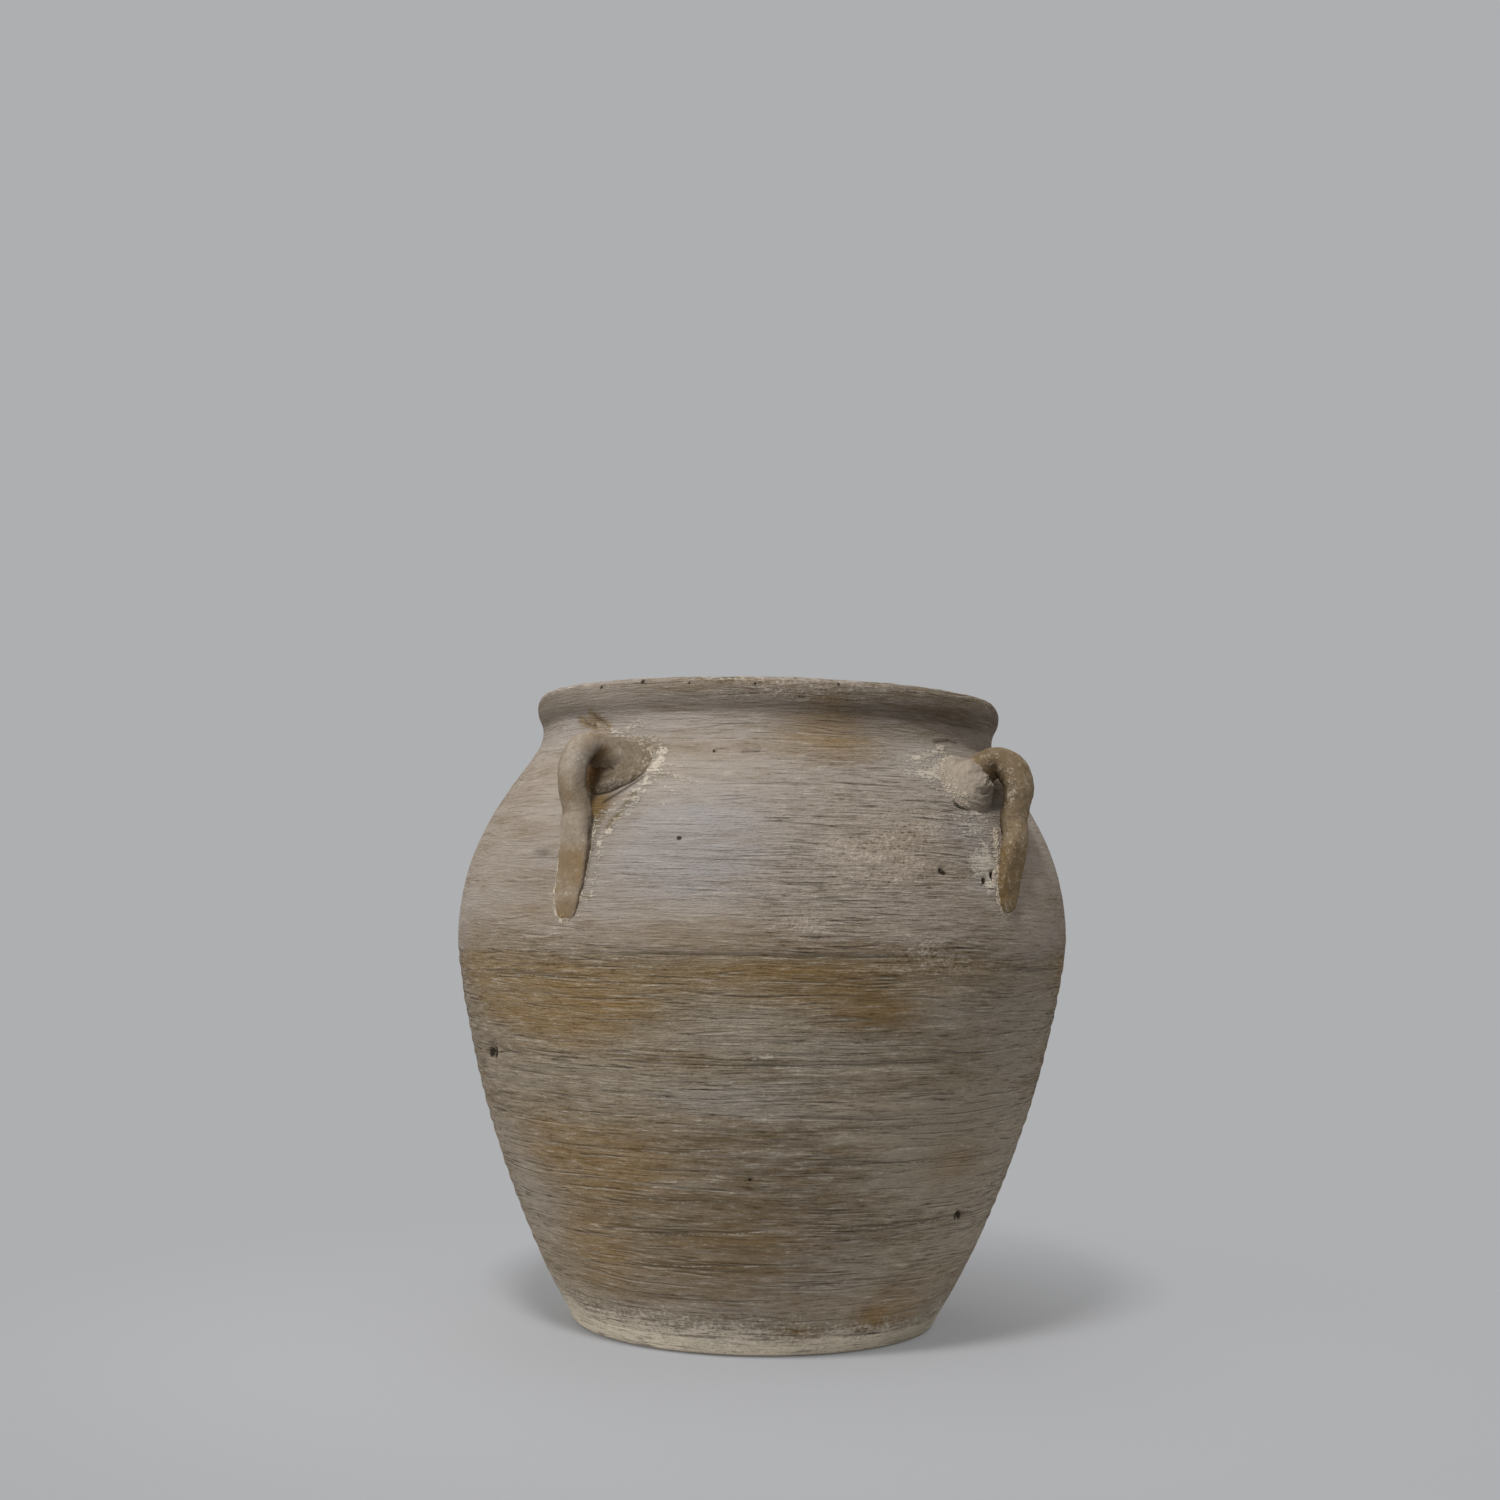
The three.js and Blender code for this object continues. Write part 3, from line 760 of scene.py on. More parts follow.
def make_piece(name: str, points: Array, quads: Array, fans: Array | None = None) -> Object:
    """Puts a surface into a new mesh object, in metres, smooth shaded.

    Args:
        name: the object's name.
        points: vertex rows in millimetres.
        quads: rows of four vertex numbers.
        fans: rows of three, for the caps at a pole.

    Returns:
        The linked object.
    """
    fans = np.zeros((0, 3), int) if fans is None else fans
    padded = np.hstack([fans, fans[:, 2:]])
    turned = oriented(points, np.vstack([quads, padded]).astype(int))
    flipped = not np.array_equal(turned[: len(quads)], quads)
    quads = turned[: len(quads)]
    fans = fans[:, ::-1] if flipped else fans
    corners = np.concatenate([quads.ravel(), fans.ravel()]).astype(np.int32)
    sizes = np.concatenate([np.full(len(quads), 4), np.full(len(fans), 3)])
    starts = np.concatenate([[0], np.cumsum(sizes)[:-1]]).astype(np.int32)
    mesh = bpy.data.meshes.new(name)
    mesh.vertices.add(len(points))
    mesh.vertices.foreach_set("co", (points * MM).astype(np.float32).ravel())
    mesh.loops.add(len(corners))
    mesh.loops.foreach_set("vertex_index", corners)
    mesh.polygons.add(len(starts))
    mesh.polygons.foreach_set("loop_start", starts)
    mesh.polygons.foreach_set("use_smooth", np.ones(len(starts), bool))
    mesh.update(calc_edges=True)
    mesh.validate()
    mesh.set_sharp_from_angle(angle=math.radians(CREASE))
    piece = bpy.data.objects.new(name, mesh)
    bpy.context.scene.collection.objects.link(piece)
    return piece


def capped(points: Array) -> tuple[Array, Array, Array]:
    """Closes a tube of rings with a fan at each end.

    Args:
        points: an array of rings by sides by 3.

    Returns:
        The vertex rows, the quads and the fans.
    """
    rings, sides = points.shape[:2]
    flat = points.reshape(-1, 3)
    quads = ring_faces(rings, sides, closed=False)
    j = np.arange(sides)
    beside = (j + 1) % sides
    first, last = len(flat), len(flat) + 1
    start = np.stack([np.full(sides, first), beside, j], axis=1)
    end_row = (rings - 1) * sides
    end = np.stack([np.full(sides, last), end_row + j, end_row + beside], axis=1)
    poles = np.stack([points[0].mean(0), points[-1].mean(0)])
    return np.vstack([flat, poles]), quads, np.vstack([start, end])


def keep_coats(piece: Object, coats: dict[Stain, Array]) -> None:
    """Stores each coat in the mesh as a point attribute. A tube's two poles take the last value.

    Args:
        piece: the object.
        coats: a value for each vertex, for each stain.
    """
    for stain in Stain:
        given = coats[stain].ravel()
        values = np.full(len(piece.data.vertices), given[-1], np.float32)
        values[: len(given)] = given
        attribute = piece.data.attributes.new(stain.value, "FLOAT", "POINT")
        attribute.data.foreach_set("value", values)


@dataclass
class NodeBench:
    """Adds nodes to one tree and hands back their outputs, so a graph reads as a formula."""

    tree: Tree

    def node(self, kind: str, **settings: object) -> Node:
        """Adds a node and sets its properties.

        Args:
            kind: the name of the node's type.
            settings: its properties by name.

        Returns:
            The new node.
        """
        made = self.tree.nodes.new(kind)
        for name, value in settings.items():
            setattr(made, name, value)
        return made

    def feed(self, socket: Socket, value: Input) -> None:
        """Links a socket to another one, or sets its value.

        Args:
            socket: the input to feed.
            value: an output, or a constant. A colour has three parts and gets an alpha of 1.
        """
        if isinstance(value, Socket):
            self.tree.links.new(value, socket)
        elif socket.type == "RGBA":
            socket.default_value = (*value, 1.0)
        else:
            socket.default_value = value

    def line_up(self, made: Node, *values: Input) -> Socket:
        """Feeds a node's first inputs in order, and hands back its first output."""
        for socket, value in zip(made.inputs, values):
            self.feed(socket, value)
        return made.outputs[0]

    def fill(self, made: Node, **values: Input) -> Node:
        """Feeds a node's inputs by name, with _ for a space.

        Args:
            made: the node.
            values: an output or a constant for each input.

        Returns:
            The same node.
        """
        for name, value in values.items():
            self.feed(made.inputs[name.replace("_", " ")], value)
        return made

    def math(self, operation: str, first: Input, second: Input = 0.0, clamp: bool = False) -> Socket:
        """One Math node."""
        made = self.node("ShaderNodeMath", operation=operation, use_clamp=clamp)
        return self.line_up(made, first, second)

    def add(self, first: Input, second: Input) -> Socket:
        """The sum of two values."""
        return self.math("ADD", first, second)

    def minus(self, first: Input, second: Input) -> Socket:
        """The first value less the second."""
        return self.math("SUBTRACT", first, second)

    def times(self, first: Input, second: Input) -> Socket:
        """The product of two values."""
        return self.math("MULTIPLY", first, second)

    def most(self, first: Input, second: Input) -> Socket:
        """The larger of two values."""
        return self.math("MAXIMUM", first, second)

    def vector(self, operation: str, first: Input, second: Input) -> Socket:
        """One Vector Math node."""
        return self.line_up(self.node("ShaderNodeVectorMath", operation=operation), first, second)

    def noise(self, place: Socket, per_metre: Triple, detail: float, roughness: float) -> Socket:
        """A noise texture's value.

        Args:
            place: where to read it, in metres.
            per_metre: how many cells it has in a metre along each axis.
            detail: how many finer octaves are added.
            roughness: the share of the strength that each finer octave keeps.

        Returns:
            Values of about 0 to 1.
        """
        made = self.node("ShaderNodeTexNoise", noise_dimensions="3D")
        scaled = self.vector("MULTIPLY", place, per_metre)
        return self.fill(made, Vector=scaled, Scale=1.0, Detail=detail, Roughness=roughness).outputs[0]

    def rise(self, value: Input, low: float, high: float, top: float = 1.0) -> Socket:
        """A smooth step of a value between two limits, from 0 to top."""
        made = self.node("ShaderNodeMapRange", interpolation_type="SMOOTHSTEP")
        return self.line_up(made, value, low, high, 0.0, top)

    def thin(self, value: Socket, half: float) -> Socket:
        """Thin lines where a noise crosses its middle value of 0.5."""
        return self.rise(self.math("ABSOLUTE", self.minus(value, 0.5)), half, half * 0.2)

    def blend(self, share: Input, first: Input, second: Input) -> Socket:
        """A mix of two colours.

        Args:
            share: how much of the second one.
            first: a colour.
            second: another.

        Returns:
            The mixed colour.
        """
        made = self.node("ShaderNodeMix", data_type="RGBA")
        for index, value in ((0, share), (6, first), (7, second)):
            self.feed(made.inputs[index], value)
        return made.outputs[2]

    def blend_shaders(self, share: Socket, first: Node, second: Node) -> Socket:
        """A mix of two shader nodes."""
        return self.line_up(self.node("ShaderNodeMixShader"), share, first.outputs[0], second.outputs[0])

    def stain(self, stain: Stain) -> Socket:
        """The value of a coat that the mesh carries."""
        return self.node("ShaderNodeAttribute", attribute_name=stain.value).outputs["Fac"]

    def object_point(self) -> Socket:
        """The Object coordinates."""
        return self.node("ShaderNodeTexCoord").outputs["Object"]

    def group(self, tree: Tree, **values: Input) -> Node:
        """Places a node group and feeds its inputs by name, with _ for a space."""
        return self.fill(self.node("ShaderNodeGroup", node_tree=tree), **values)


def sockets(kind: str, *names: str) -> dict[str, str]:
    """Named sockets of one kind: Float, Color or Vector."""
    return {name: f"NodeSocket{kind}" for name in names}


def new_group(
    name: str, inputs: dict[str, str], outputs: dict[str, str]
) -> tuple[Tree, NodeBench, Node, Node]:
    """Starts a shader node group with named sockets.

    Args:
        name: the group's name.
        inputs: socket kind by input name.
        outputs: socket kind by output name.

    Returns:
        The tree, a bench to build on, and its input and output nodes.
    """
    tree = bpy.data.node_groups.new(name, "ShaderNodeTree")
    for way, kinds in (("INPUT", inputs), ("OUTPUT", outputs)):
        for label, kind in kinds.items():
            tree.interface.new_socket(label, in_out=way, socket_type=kind)
    bench = NodeBench(tree)
    return tree, bench, bench.node("NodeGroupInput"), bench.node("NodeGroupOutput")


CLAY_TEXTURE = sockets("Float", "Broad", "Fine", "Groove", "Ridge", "Grain", "Curl")
# A groove's pale ridge, a painted highlight just under it where light from above would catch its
# lower lip, is the groove's own noise, read this far above it, in metres.
LIT_RIDGE_RISE = (0, 0, 0.0006)


@dataclass
class ClayEffects:
    """The shader node groups that all the clay finishes share."""

    place: Tree = field(init=False)
    streaks: Tree = field(init=False)
    rubbed: Tree = field(init=False)
    score: Tree = field(init=False)
    pit: Tree = field(init=False)
    coat: Tree = field(init=False)

    def __post_init__(self) -> None:
        """Builds each group once."""
        self.place = self.build_place()
        self.streaks = self.build_streaks()
        self.rubbed = self.build_rubbed()
        self.score = self.build_score()
        self.pit = self.build_pit()
        self.coat = self.build_coat()

    @staticmethod
    def build_place() -> Tree:
        """Angle round the jar, atan2(x, -y) in degrees, and height in millimetres.

        Returns:
            The group.
        """
        tree, bench, given, out = new_group(
            "place_on_jar", sockets("Vector", "Point"), sockets("Float", "Around", "Height")
        )
        split = bench.node("ShaderNodeSeparateXYZ")
        bench.feed(split.inputs[0], given.outputs["Point"])
        angle = bench.math("ARCTAN2", split.outputs[0], bench.times(split.outputs[1], -1.0))
        bench.fill(
            out, Around=bench.times(angle, 180 / math.pi), Height=bench.times(split.outputs[2], 1000.0)
        )
        return tree

    @staticmethod
    def build_streaks() -> Tree:
        """Brushed lines round the jar: noise far finer in height than across, on a wavering height.

        Returns:
            The group.
        """
        tree, bench, given, out = new_group("throwing_streaks", sockets("Vector", "Point"), CLAY_TEXTURE)
        point = given.outputs["Point"]
        waver = bench.minus(bench.noise(point, (26, 26, 90), 1, 0.5), 0.5)
        shift = bench.fill(bench.node("ShaderNodeCombineXYZ"), Z=bench.times(waver, 0.0024))
        bent = bench.vector("ADD", point, shift.outputs[0])
        shown = bench.rise(bench.noise(bent, (34, 34, 420), 2, 0.6), 0.44, 0.6)
        groove, lit_ridge = (
            bench.thin(bench.noise(place, (10, 10, 360), 1, 0.5), 0.035)
            for place in (bent, bench.vector("ADD", bent, LIT_RIDGE_RISE))
        )
        bench.fill(
            out, Broad=bench.noise(bent, (24, 24, 190), 3, 0.55),
            Fine=bench.noise(bent, (90, 90, 1050), 3, 0.66),
            Groove=bench.times(groove, shown), Ridge=bench.times(lit_ridge, shown),
            Grain=bench.noise(point, (520, 520, 760), 2, 0.65),
            Curl=bench.thin(bench.noise(point, (210, 210, 300), 2, 0.6), 0.03),
        )
        return tree

    @staticmethod
    def build_rubbed() -> Tree:
        """Clay rubbed with a wet finger: even-sided noise in several sizes.

        Returns:
            The group.
        """
        tree, bench, given, out = new_group("rubbed_clay", sockets("Vector", "Point"), CLAY_TEXTURE)
        point = given.outputs["Point"]
        shown = bench.rise(bench.noise(point, (60, 60, 60), 2, 0.6), 0.5, 0.64)
        groove, lit_ridge = (
            bench.thin(bench.noise(place, (130, 130, 110), 3, 0.6), 0.016)
            for place in (point, bench.vector("ADD", point, LIT_RIDGE_RISE))
        )
        bench.fill(
            out, Broad=bench.noise(point, (110, 110, 80), 3, 0.6),
            Fine=bench.noise(point, (380, 380, 300), 3, 0.6),
            Groove=bench.times(groove, shown), Ridge=bench.times(lit_ridge, shown),
            Grain=bench.noise(point, (1000, 1000, 1000), 1, 0.5),
            Curl=bench.thin(bench.noise(point, (260, 260, 260), 1, 0.5), 0.03),
        )
        return tree

    @staticmethod
    def build_score() -> Tree:
        """A thin line between two places, 1 on it and eased to 0 at its half width, and its raised lip just
        below it, made pale as a painted highlight.

        Returns:
            The group.
        """
        names = ("Around", "Height", "Start", "Start Height", "End", "End Height", "Half Width")
        tree, bench, given, out = new_group(
            "scored_line", sockets("Float", *names), sockets("Float", "Mask", "Lip")
        )
        get, minus, times = given.outputs, bench.minus, bench.times
        share = bench.math("DIVIDE", minus(get["Around"], get["Start"]), minus(get["End"], get["Start"]))
        climb = times(share, minus(get["End Height"], get["Start Height"]))
        waver = times(bench.math("SINE", times(get["Around"], 0.55)), 0.22)
        line = bench.add(bench.add(get["Start Height"], climb), waver)
        off = bench.math("DIVIDE", minus(get["Height"], line), get["Half Width"])
        across = bench.rise(bench.math("ABSOLUTE", off), 1.0, 0.0)
        beside = bench.rise(bench.math("ABSOLUTE", bench.add(off, 1.3)), 0.9, 0.0)
        ends = times(bench.rise(share, 0.0, 0.12), bench.rise(share, 1.0, 0.85))
        bench.fill(out, Mask=times(across, ends), Lip=times(beside, ends))
        return tree

    @staticmethod
    def build_pit() -> Tree:
        """A small spot: 1 at its centre, eased to 0 at its radius.

        Returns:
            The group.
        """
        names = ("Around", "Height", "Centre", "Centre Height", "Radius")
        tree, bench, given, out = new_group("pinhole", sockets("Float", *names), sockets("Float", "Mask"))
        get, times = given.outputs, bench.times
        across = times(bench.minus(get["Around"], get["Centre"]), MM_PER_DEGREE)
        up = bench.minus(get["Height"], get["Centre Height"])
        distance = bench.math("SQRT", bench.add(times(across, across), times(up, up)))
        bench.fill(out, Mask=bench.rise(bench.math("DIVIDE", distance, get["Radius"]), 1.25, 0.7))
        return tree

    @staticmethod
    def build_coat() -> Tree:
        """Bare clay under worn wash, with pale ridges and dark grooves along the brushed lines, which are
        painted highlight and painted shade on the relief.

        Returns:
            The group.
        """
        inputs = sockets("Float", *(stain.name.title() for stain in Stain), *CLAY_TEXTURE)
        inputs |= sockets("Color", "Clay", "Ochre", "Warm Wash", "Cool Wash", "Pale", "Dark")
        tree, bench, given, out = new_group(
            "worn_coats", inputs, sockets("Color", "Color") | sockets("Float", "Roughness", "Height")
        )
        get = given.outputs
        add, minus, times, rise = bench.add, bench.minus, bench.times, bench.rise
        broad, fine, grain = (times(minus(get[name], 0.5), 2.0) for name in ("Broad", "Fine", "Grain"))
        tooth = bench.math("MINIMUM", add(0.36, get["Fleck"]), 1.0)
        flecked = rise(get["Fleck"], 0.68, 0.95)
        specks = times(add(times(grain, 0.9), times(get["Curl"], 0.6)), flecked)
        scored = times(times(tooth, tooth), minus(1.0, flecked))
        line = add(add(times(fine, 1.7), times(grain, 0.45)), specks)
        worn = times(line, tooth)
        cover = add(get["Wash"], add(times(broad, 0.42), times(worn, 0.36)))
        cover = rise(cover, 0.02, 0.98)
        rust = rise(add(get["Rust"], add(times(broad, 0.32), times(line, 0.1))), 0.12, 1.05)
        bare = bench.blend(rust, get["Clay"], get["Ochre"])
        wash = bench.blend(get["Cool"], get["Warm Wash"], get["Cool Wash"])
        colour = bench.blend(times(cover, minus(1.0, times(rust, 0.5))), bare, wash)
        # Painted highlight: paler on the raised streaks and on the lit ridge under each groove.
        lit = add(rise(worn, 0.1, 0.95, 0.56), times(times(get["Ridge"], scored), 0.3))
        crumbs = add(times(get["Cream"], 1.25), add(times(grain, 1.5), times(fine, 1.3)))
        crumbs = rise(crumbs, 0.1, 1.15, 0.74)
        pale = bench.most(lit, times(crumbs, rise(get["Cream"], 0.02, 0.25)))
        colour = bench.blend(pale, colour, get["Pale"])
        # Painted shade: darker in the sunk streaks and the grooves, and wherever the darkening coat lies.
        grooves = times(times(get["Groove"], scored), 0.52)
        deep = add(rise(add(worn, times(broad, 0.12)), -0.12, -0.95, 0.62), grooves)
        dark = bench.math("MULTIPLY", bench.most(deep, get["Soot"]), 0.92, clamp=True)
        cut = minus(times(worn, minus(0.7, times(flecked, 0.4))), times(grooves, 1.3))
        bench.fill(
            out, Color=bench.blend(dark, colour, get["Dark"]), Roughness=minus(0.96, times(cover, 0.1)),
            Height=add(cut, times(crumbs, rise(get["Cream"], 0.0, 0.4, 0.9))),
        )
        return tree


class Texture(Enum):
    """How a clay surface was worked, by the name of its group in the effects."""

    THROWN = "streaks"
    RUBBED = "rubbed"


@dataclass(frozen=True)
class ClayFinish:
    """The colours and texture of one kind of clay surface on the jar."""

    name: str
    slot: str
    clay: Colour = linear(110, 93, 68)
    ochre: Colour = linear(124, 101, 66)
    warm_wash: Colour = linear(157, 144, 124)
    cool_wash: Colour = linear(147, 140, 133)
    pale: Colour = linear(197, 186, 169)
    dark: Colour = linear(46, 36, 26)
    bump_distance: float = 0.0009
    texture: Texture = Texture.THROWN

    def build(self, effects: ClayEffects) -> bpy.types.Material:
        """Makes the material: streaks and marks feed the coats, and these feed the shader.

        Args:
            effects: the shared node groups.

        Returns:
            The new material.
        """
        material = bpy.data.materials.new(self.name)
        material.use_nodes = True
        bench = NodeBench(material.node_tree)
        point = bench.object_point()
        worked = bench.group(getattr(effects, self.texture.value), Point=point).outputs
        coats = {stain.name.title(): bench.stain(stain) for stain in Stain}
        if self.texture is Texture.THROWN:
            cut, lip = self.mark_masks(bench, effects, point)
            # Painted shade in the scores and pits joins the darkening coat, and the painted highlight on the
            # scores' lips joins the cream.
            coats["Soot"] = bench.most(coats["Soot"], cut)
            coats["Cream"] = bench.most(coats["Cream"], lip)
        coat = bench.group(
            effects.coat, Clay=self.clay, Ochre=self.ochre, Warm_Wash=self.warm_wash,
            Cool_Wash=self.cool_wash, Pale=self.pale, Dark=self.dark,
            **coats, **{name: worked[name] for name in CLAY_TEXTURE},
        ).outputs
        raised = bench.fill(
            bench.node("ShaderNodeBump"), Strength=0.9, Distance=self.bump_distance, Height=coat["Height"]
        )
        bench.fill(
            material.node_tree.nodes["Principled BSDF"], Base_Color=coat["Color"],
            Roughness=coat["Roughness"], Normal=raised.outputs[0], Specular_IOR_Level=0.25,
        )
        return material

    @staticmethod
    def mark_masks(bench: NodeBench, effects: ClayEffects, point: Socket) -> tuple[Socket, Socket]:
        """Where a score or a pit darkens the surface, as painted shade in it, and where a score's lower lip
        is made pale, as a painted highlight.

        Args:
            bench: the material's bench.
            effects: the shared node groups.
            point: the Object coordinates.

        Returns:
            The largest of the dark masks and the largest of the pale ones.
        """
        place = bench.group(effects.place, Point=point).outputs
        here = {name: place[name] for name in ("Around", "Height")}
        mask: Input = 0.0
        lip: Input = 0.0
        for score in SCORES:
            line = bench.group(
                effects.score, **here, Start=score.start, Start_Height=score.start_height, End=score.end,
                End_Height=score.end_height, Half_Width=score.half_width,
            ).outputs
            mask = bench.most(mask, bench.times(line["Mask"], score.shown))
            lip = bench.most(lip, bench.times(line["Lip"], score.shown))
        for pit in PITS:
            spot = bench.group(
                effects.pit, **here, Centre=pit.around, Centre_Height=pit.height, Radius=pit.radius
            )
            mask = bench.most(mask, spot.outputs["Mask"])
        return mask, lip


def hand_over(
    piece: Object, node: str, finish: ClayFinish, coats: dict[Stain, Array], effects: ClayEffects
) -> Object:
    """Gives a piece its coats and its material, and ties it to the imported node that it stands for.

    Args:
        piece: the new mesh object.
        node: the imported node's name.
        finish: how the piece is finished.
        coats: the coats at each vertex.
        effects: the shared node groups.

    Returns:
        The finished piece.
    """
    keep_coats(piece, coats)
    piece.data.materials.append(finish.build(effects))
    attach(piece, "root")
    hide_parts(node)
    LOG.info("%s: %d points", piece.name, len(piece.data.vertices))
    return piece


# Above this height the lip turns inward, in millimetres.
LIP_TURN = 288


@dataclass
class ThrownWall:
    """One thrown ring of the jar: a closed profile turned round the axis, with hand-made relief.

    The first points of its line, as many as are shown, are outside. The rest are joints and inside.
    """

    node: str
    columns: int
    finish: ClayFinish
    line: Array
    shown: int

    def build(self, effects: ClayEffects) -> Object:
        """Turns the profile, moves its outside by the relief, and dresses it.

        A point is (r sin a, -r cos a, z), with the profile's own normal times the relief added on the
        outside, and shallow throwing rings on the inside.

        Args:
            effects: the shared node groups.

        Returns:
            The finished piece.
        """
        out, up = self.line[:, :1], self.line[:, 1:]
        angles = np.arange(self.columns) / self.columns * 360
        grid = np.broadcast_to(angles, (len(self.line), self.columns))
        reach = np.broadcast_to(self.reach()[:, None], grid.shape)
        outside = (np.arange(len(self.line)) < self.shown).astype(float)[:, None]
        rings = 0.35 * np.sin(TURN * (up / 9 - angles / 360))
        rings = rings + 0.5 * (ClayNoise(91).spread(grid, up, 9, 25, 2) - 0.5)
        touch = PotterTouch(grid, reach)
        lift = touch.relief() * outside + rings * (1 - outside) * self.inner_share()[:, None]
        normal = self.normals()
        radius = out + normal[:, :1] * lift
        height = up + normal[:, 1:] * lift + self.seam_shift(up) * touch.seam_rise()
        turn = np.radians(grid)
        points = np.stack([radius * np.sin(turn), -radius * np.cos(turn), height], axis=2)
        flat = settled(points.reshape(-1, 3))
        piece = make_piece(f"{self.node}_clay", flat, ring_faces(len(self.line), self.columns, closed=True))
        coats = touch.coats()
        coats[Stain.WASH] = coats[Stain.WASH] * (0.5 + 0.5 * outside)
        coats[Stain.CREAM] = coats[Stain.CREAM] * outside
        return hand_over(piece, self.node, self.finish, coats, effects)

    def normals(self) -> Array:
        """The profile's outward normals.

        Returns:
            Unit rows of (radius, height).
        """
        along = np.roll(self.line, -1, axis=0) - np.roll(self.line, 1, axis=0)
        along[: self.shown] = np.gradient(self.line[: self.shown], axis=0)
        along /= np.maximum(np.linalg.norm(along, axis=1), 1e-6)[:, None]
        return np.stack([along[:, 1], -along[:, 0]], axis=1)

    def reach(self) -> Array:
        """Each point's height, or past the lip's turn its way along the profile, so noise runs on.

        Returns:
            Millimetres for each point.
        """
        run = np.concatenate([[0], np.cumsum(np.linalg.norm(np.diff(self.line, axis=0), axis=1))])
        reach = self.line[:, 1].copy()
        high = np.flatnonzero(self.line[: self.shown, 1] > LIP_TURN)
        if high.size:
            reach[high[0]:] = reach[high[0]] + run[high[0]:] - run[high[0]]
        return reach

    def inner_share(self) -> Array:
        """How much of the throwing rings each point takes.

        Returns:
            1 along the middle of the inside, falling to 0 near the joints, so that laps still fit.
        """
        count = len(self.line) - self.shown
        share = np.zeros(len(self.line))
        share[self.shown:] = np.clip(np.minimum(np.arange(count), np.arange(count)[::-1]) / 5 - 1, 0, 1)
        return share

    def seam_shift(self, heights: Array) -> Array:
        """How much of the belly seam's rise and fall a height takes: 1 at the seam, 0 well off it.

        Args:
            heights: heights in millimetres.

        Returns:
            Values of 0 to 1.
        """
        seam = OUTLINE.belly_seam
        under = ease(seam - 40, seam, heights)
        over = 1 - ease(seam + OUTLINE.lap + 1, seam + 30, heights)
        return np.where(heights <= seam, under, over)


def lap_step(height: float, shift: float) -> Array:
    """The two points of a lap joint's upright face, half way through the wall.

    Args:
        height: the lower end of the face.
        shift: how far it is moved outward, for the joint's gap.

    Returns:
        Two rows of (radius, height), upward.
    """
    ends = (height, height + OUTLINE.lap)
    return np.array([(OUTLINE.mid_radius(end) + shift, end) for end in ends])


def wall_profiles() -> dict[str, tuple[Array, int]]:
    """The closed profile of each thrown ring, with how many of its first points are outside.

    Each runs up the outside, across its joint and down the inside, with the same laps and gaps as the
    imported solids.

    Returns:
        For each node, its profile and the count of outside points.
    """
    o = OUTLINE
    outer, inner = o.outside(), o.inside()
    plug = o.foot_top_radius - o.wall
    half = o.gap / 2
    sole = evenly(np.array([[0.5, 0.0], [o.foot_radius - 1.2, 0.0]]), 14)
    band = evenly(np.array([[o.foot_radius - 0.2, 0.5], [o.foot_top_radius, o.foot_band]]), 16)
    step = [[plug, o.foot_band], [plug, o.floor]]
    floor = evenly(np.array([[plug - 1, o.floor], [0.5, o.floor]]), 14)
    base = np.vstack([sole, band, step, floor])
    seam, neck = o.belly_seam, o.neck_seam
    low_outside = o.stretch(outer, o.foot_band + o.hairline, seam, 148)
    low_inside = o.stretch(inner, o.floor + o.gap, seam + o.lap, 34)[::-1]
    seat = [[plug + o.gap, o.floor + o.gap], [plug + o.gap, o.foot_band + o.gap]]
    high_outside = o.stretch(outer, seam + o.hairline, neck, 108)
    high_inside = o.stretch(inner, seam + o.gap + o.lap, neck + o.lap, 26)[::-1]
    neck_outside = o.stretch(outer, neck + o.hairline, o.waist_height - 0.2, 12)
    collar_outside = np.vstack([neck_outside, evenly(o.lip(), 56)])
    throat = neck + o.gap + o.lap
    collar_inside = [[o.inner_radius(throat), throat]]
    high_foot, collar_foot = (lap_step(height + o.gap, half)[::-1] for height in (seam, neck))
    return {
        "base_slab": (base, len(sole) + len(band)),
        "lower_wall": (np.vstack([low_outside, lap_step(seam, -half), low_inside, seat]), len(low_outside)),
        "shoulder_wall": (
            np.vstack([high_outside, lap_step(neck, -half), high_inside, high_foot]), len(high_outside)
        ),
        "rim_collar": (np.vstack([collar_outside, collar_inside, collar_foot]), len(collar_outside)),
    }


class HandleSide(Enum):
    """Where a handle stands round the jar, in degrees from the front."""

    FRONT = 0
    RIGHT = 90
    BACK = 180
    LEFT = 270

    @property
    def label(self) -> str:
        """The handle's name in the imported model."""
        return f"{self.name.lower()}_handle"


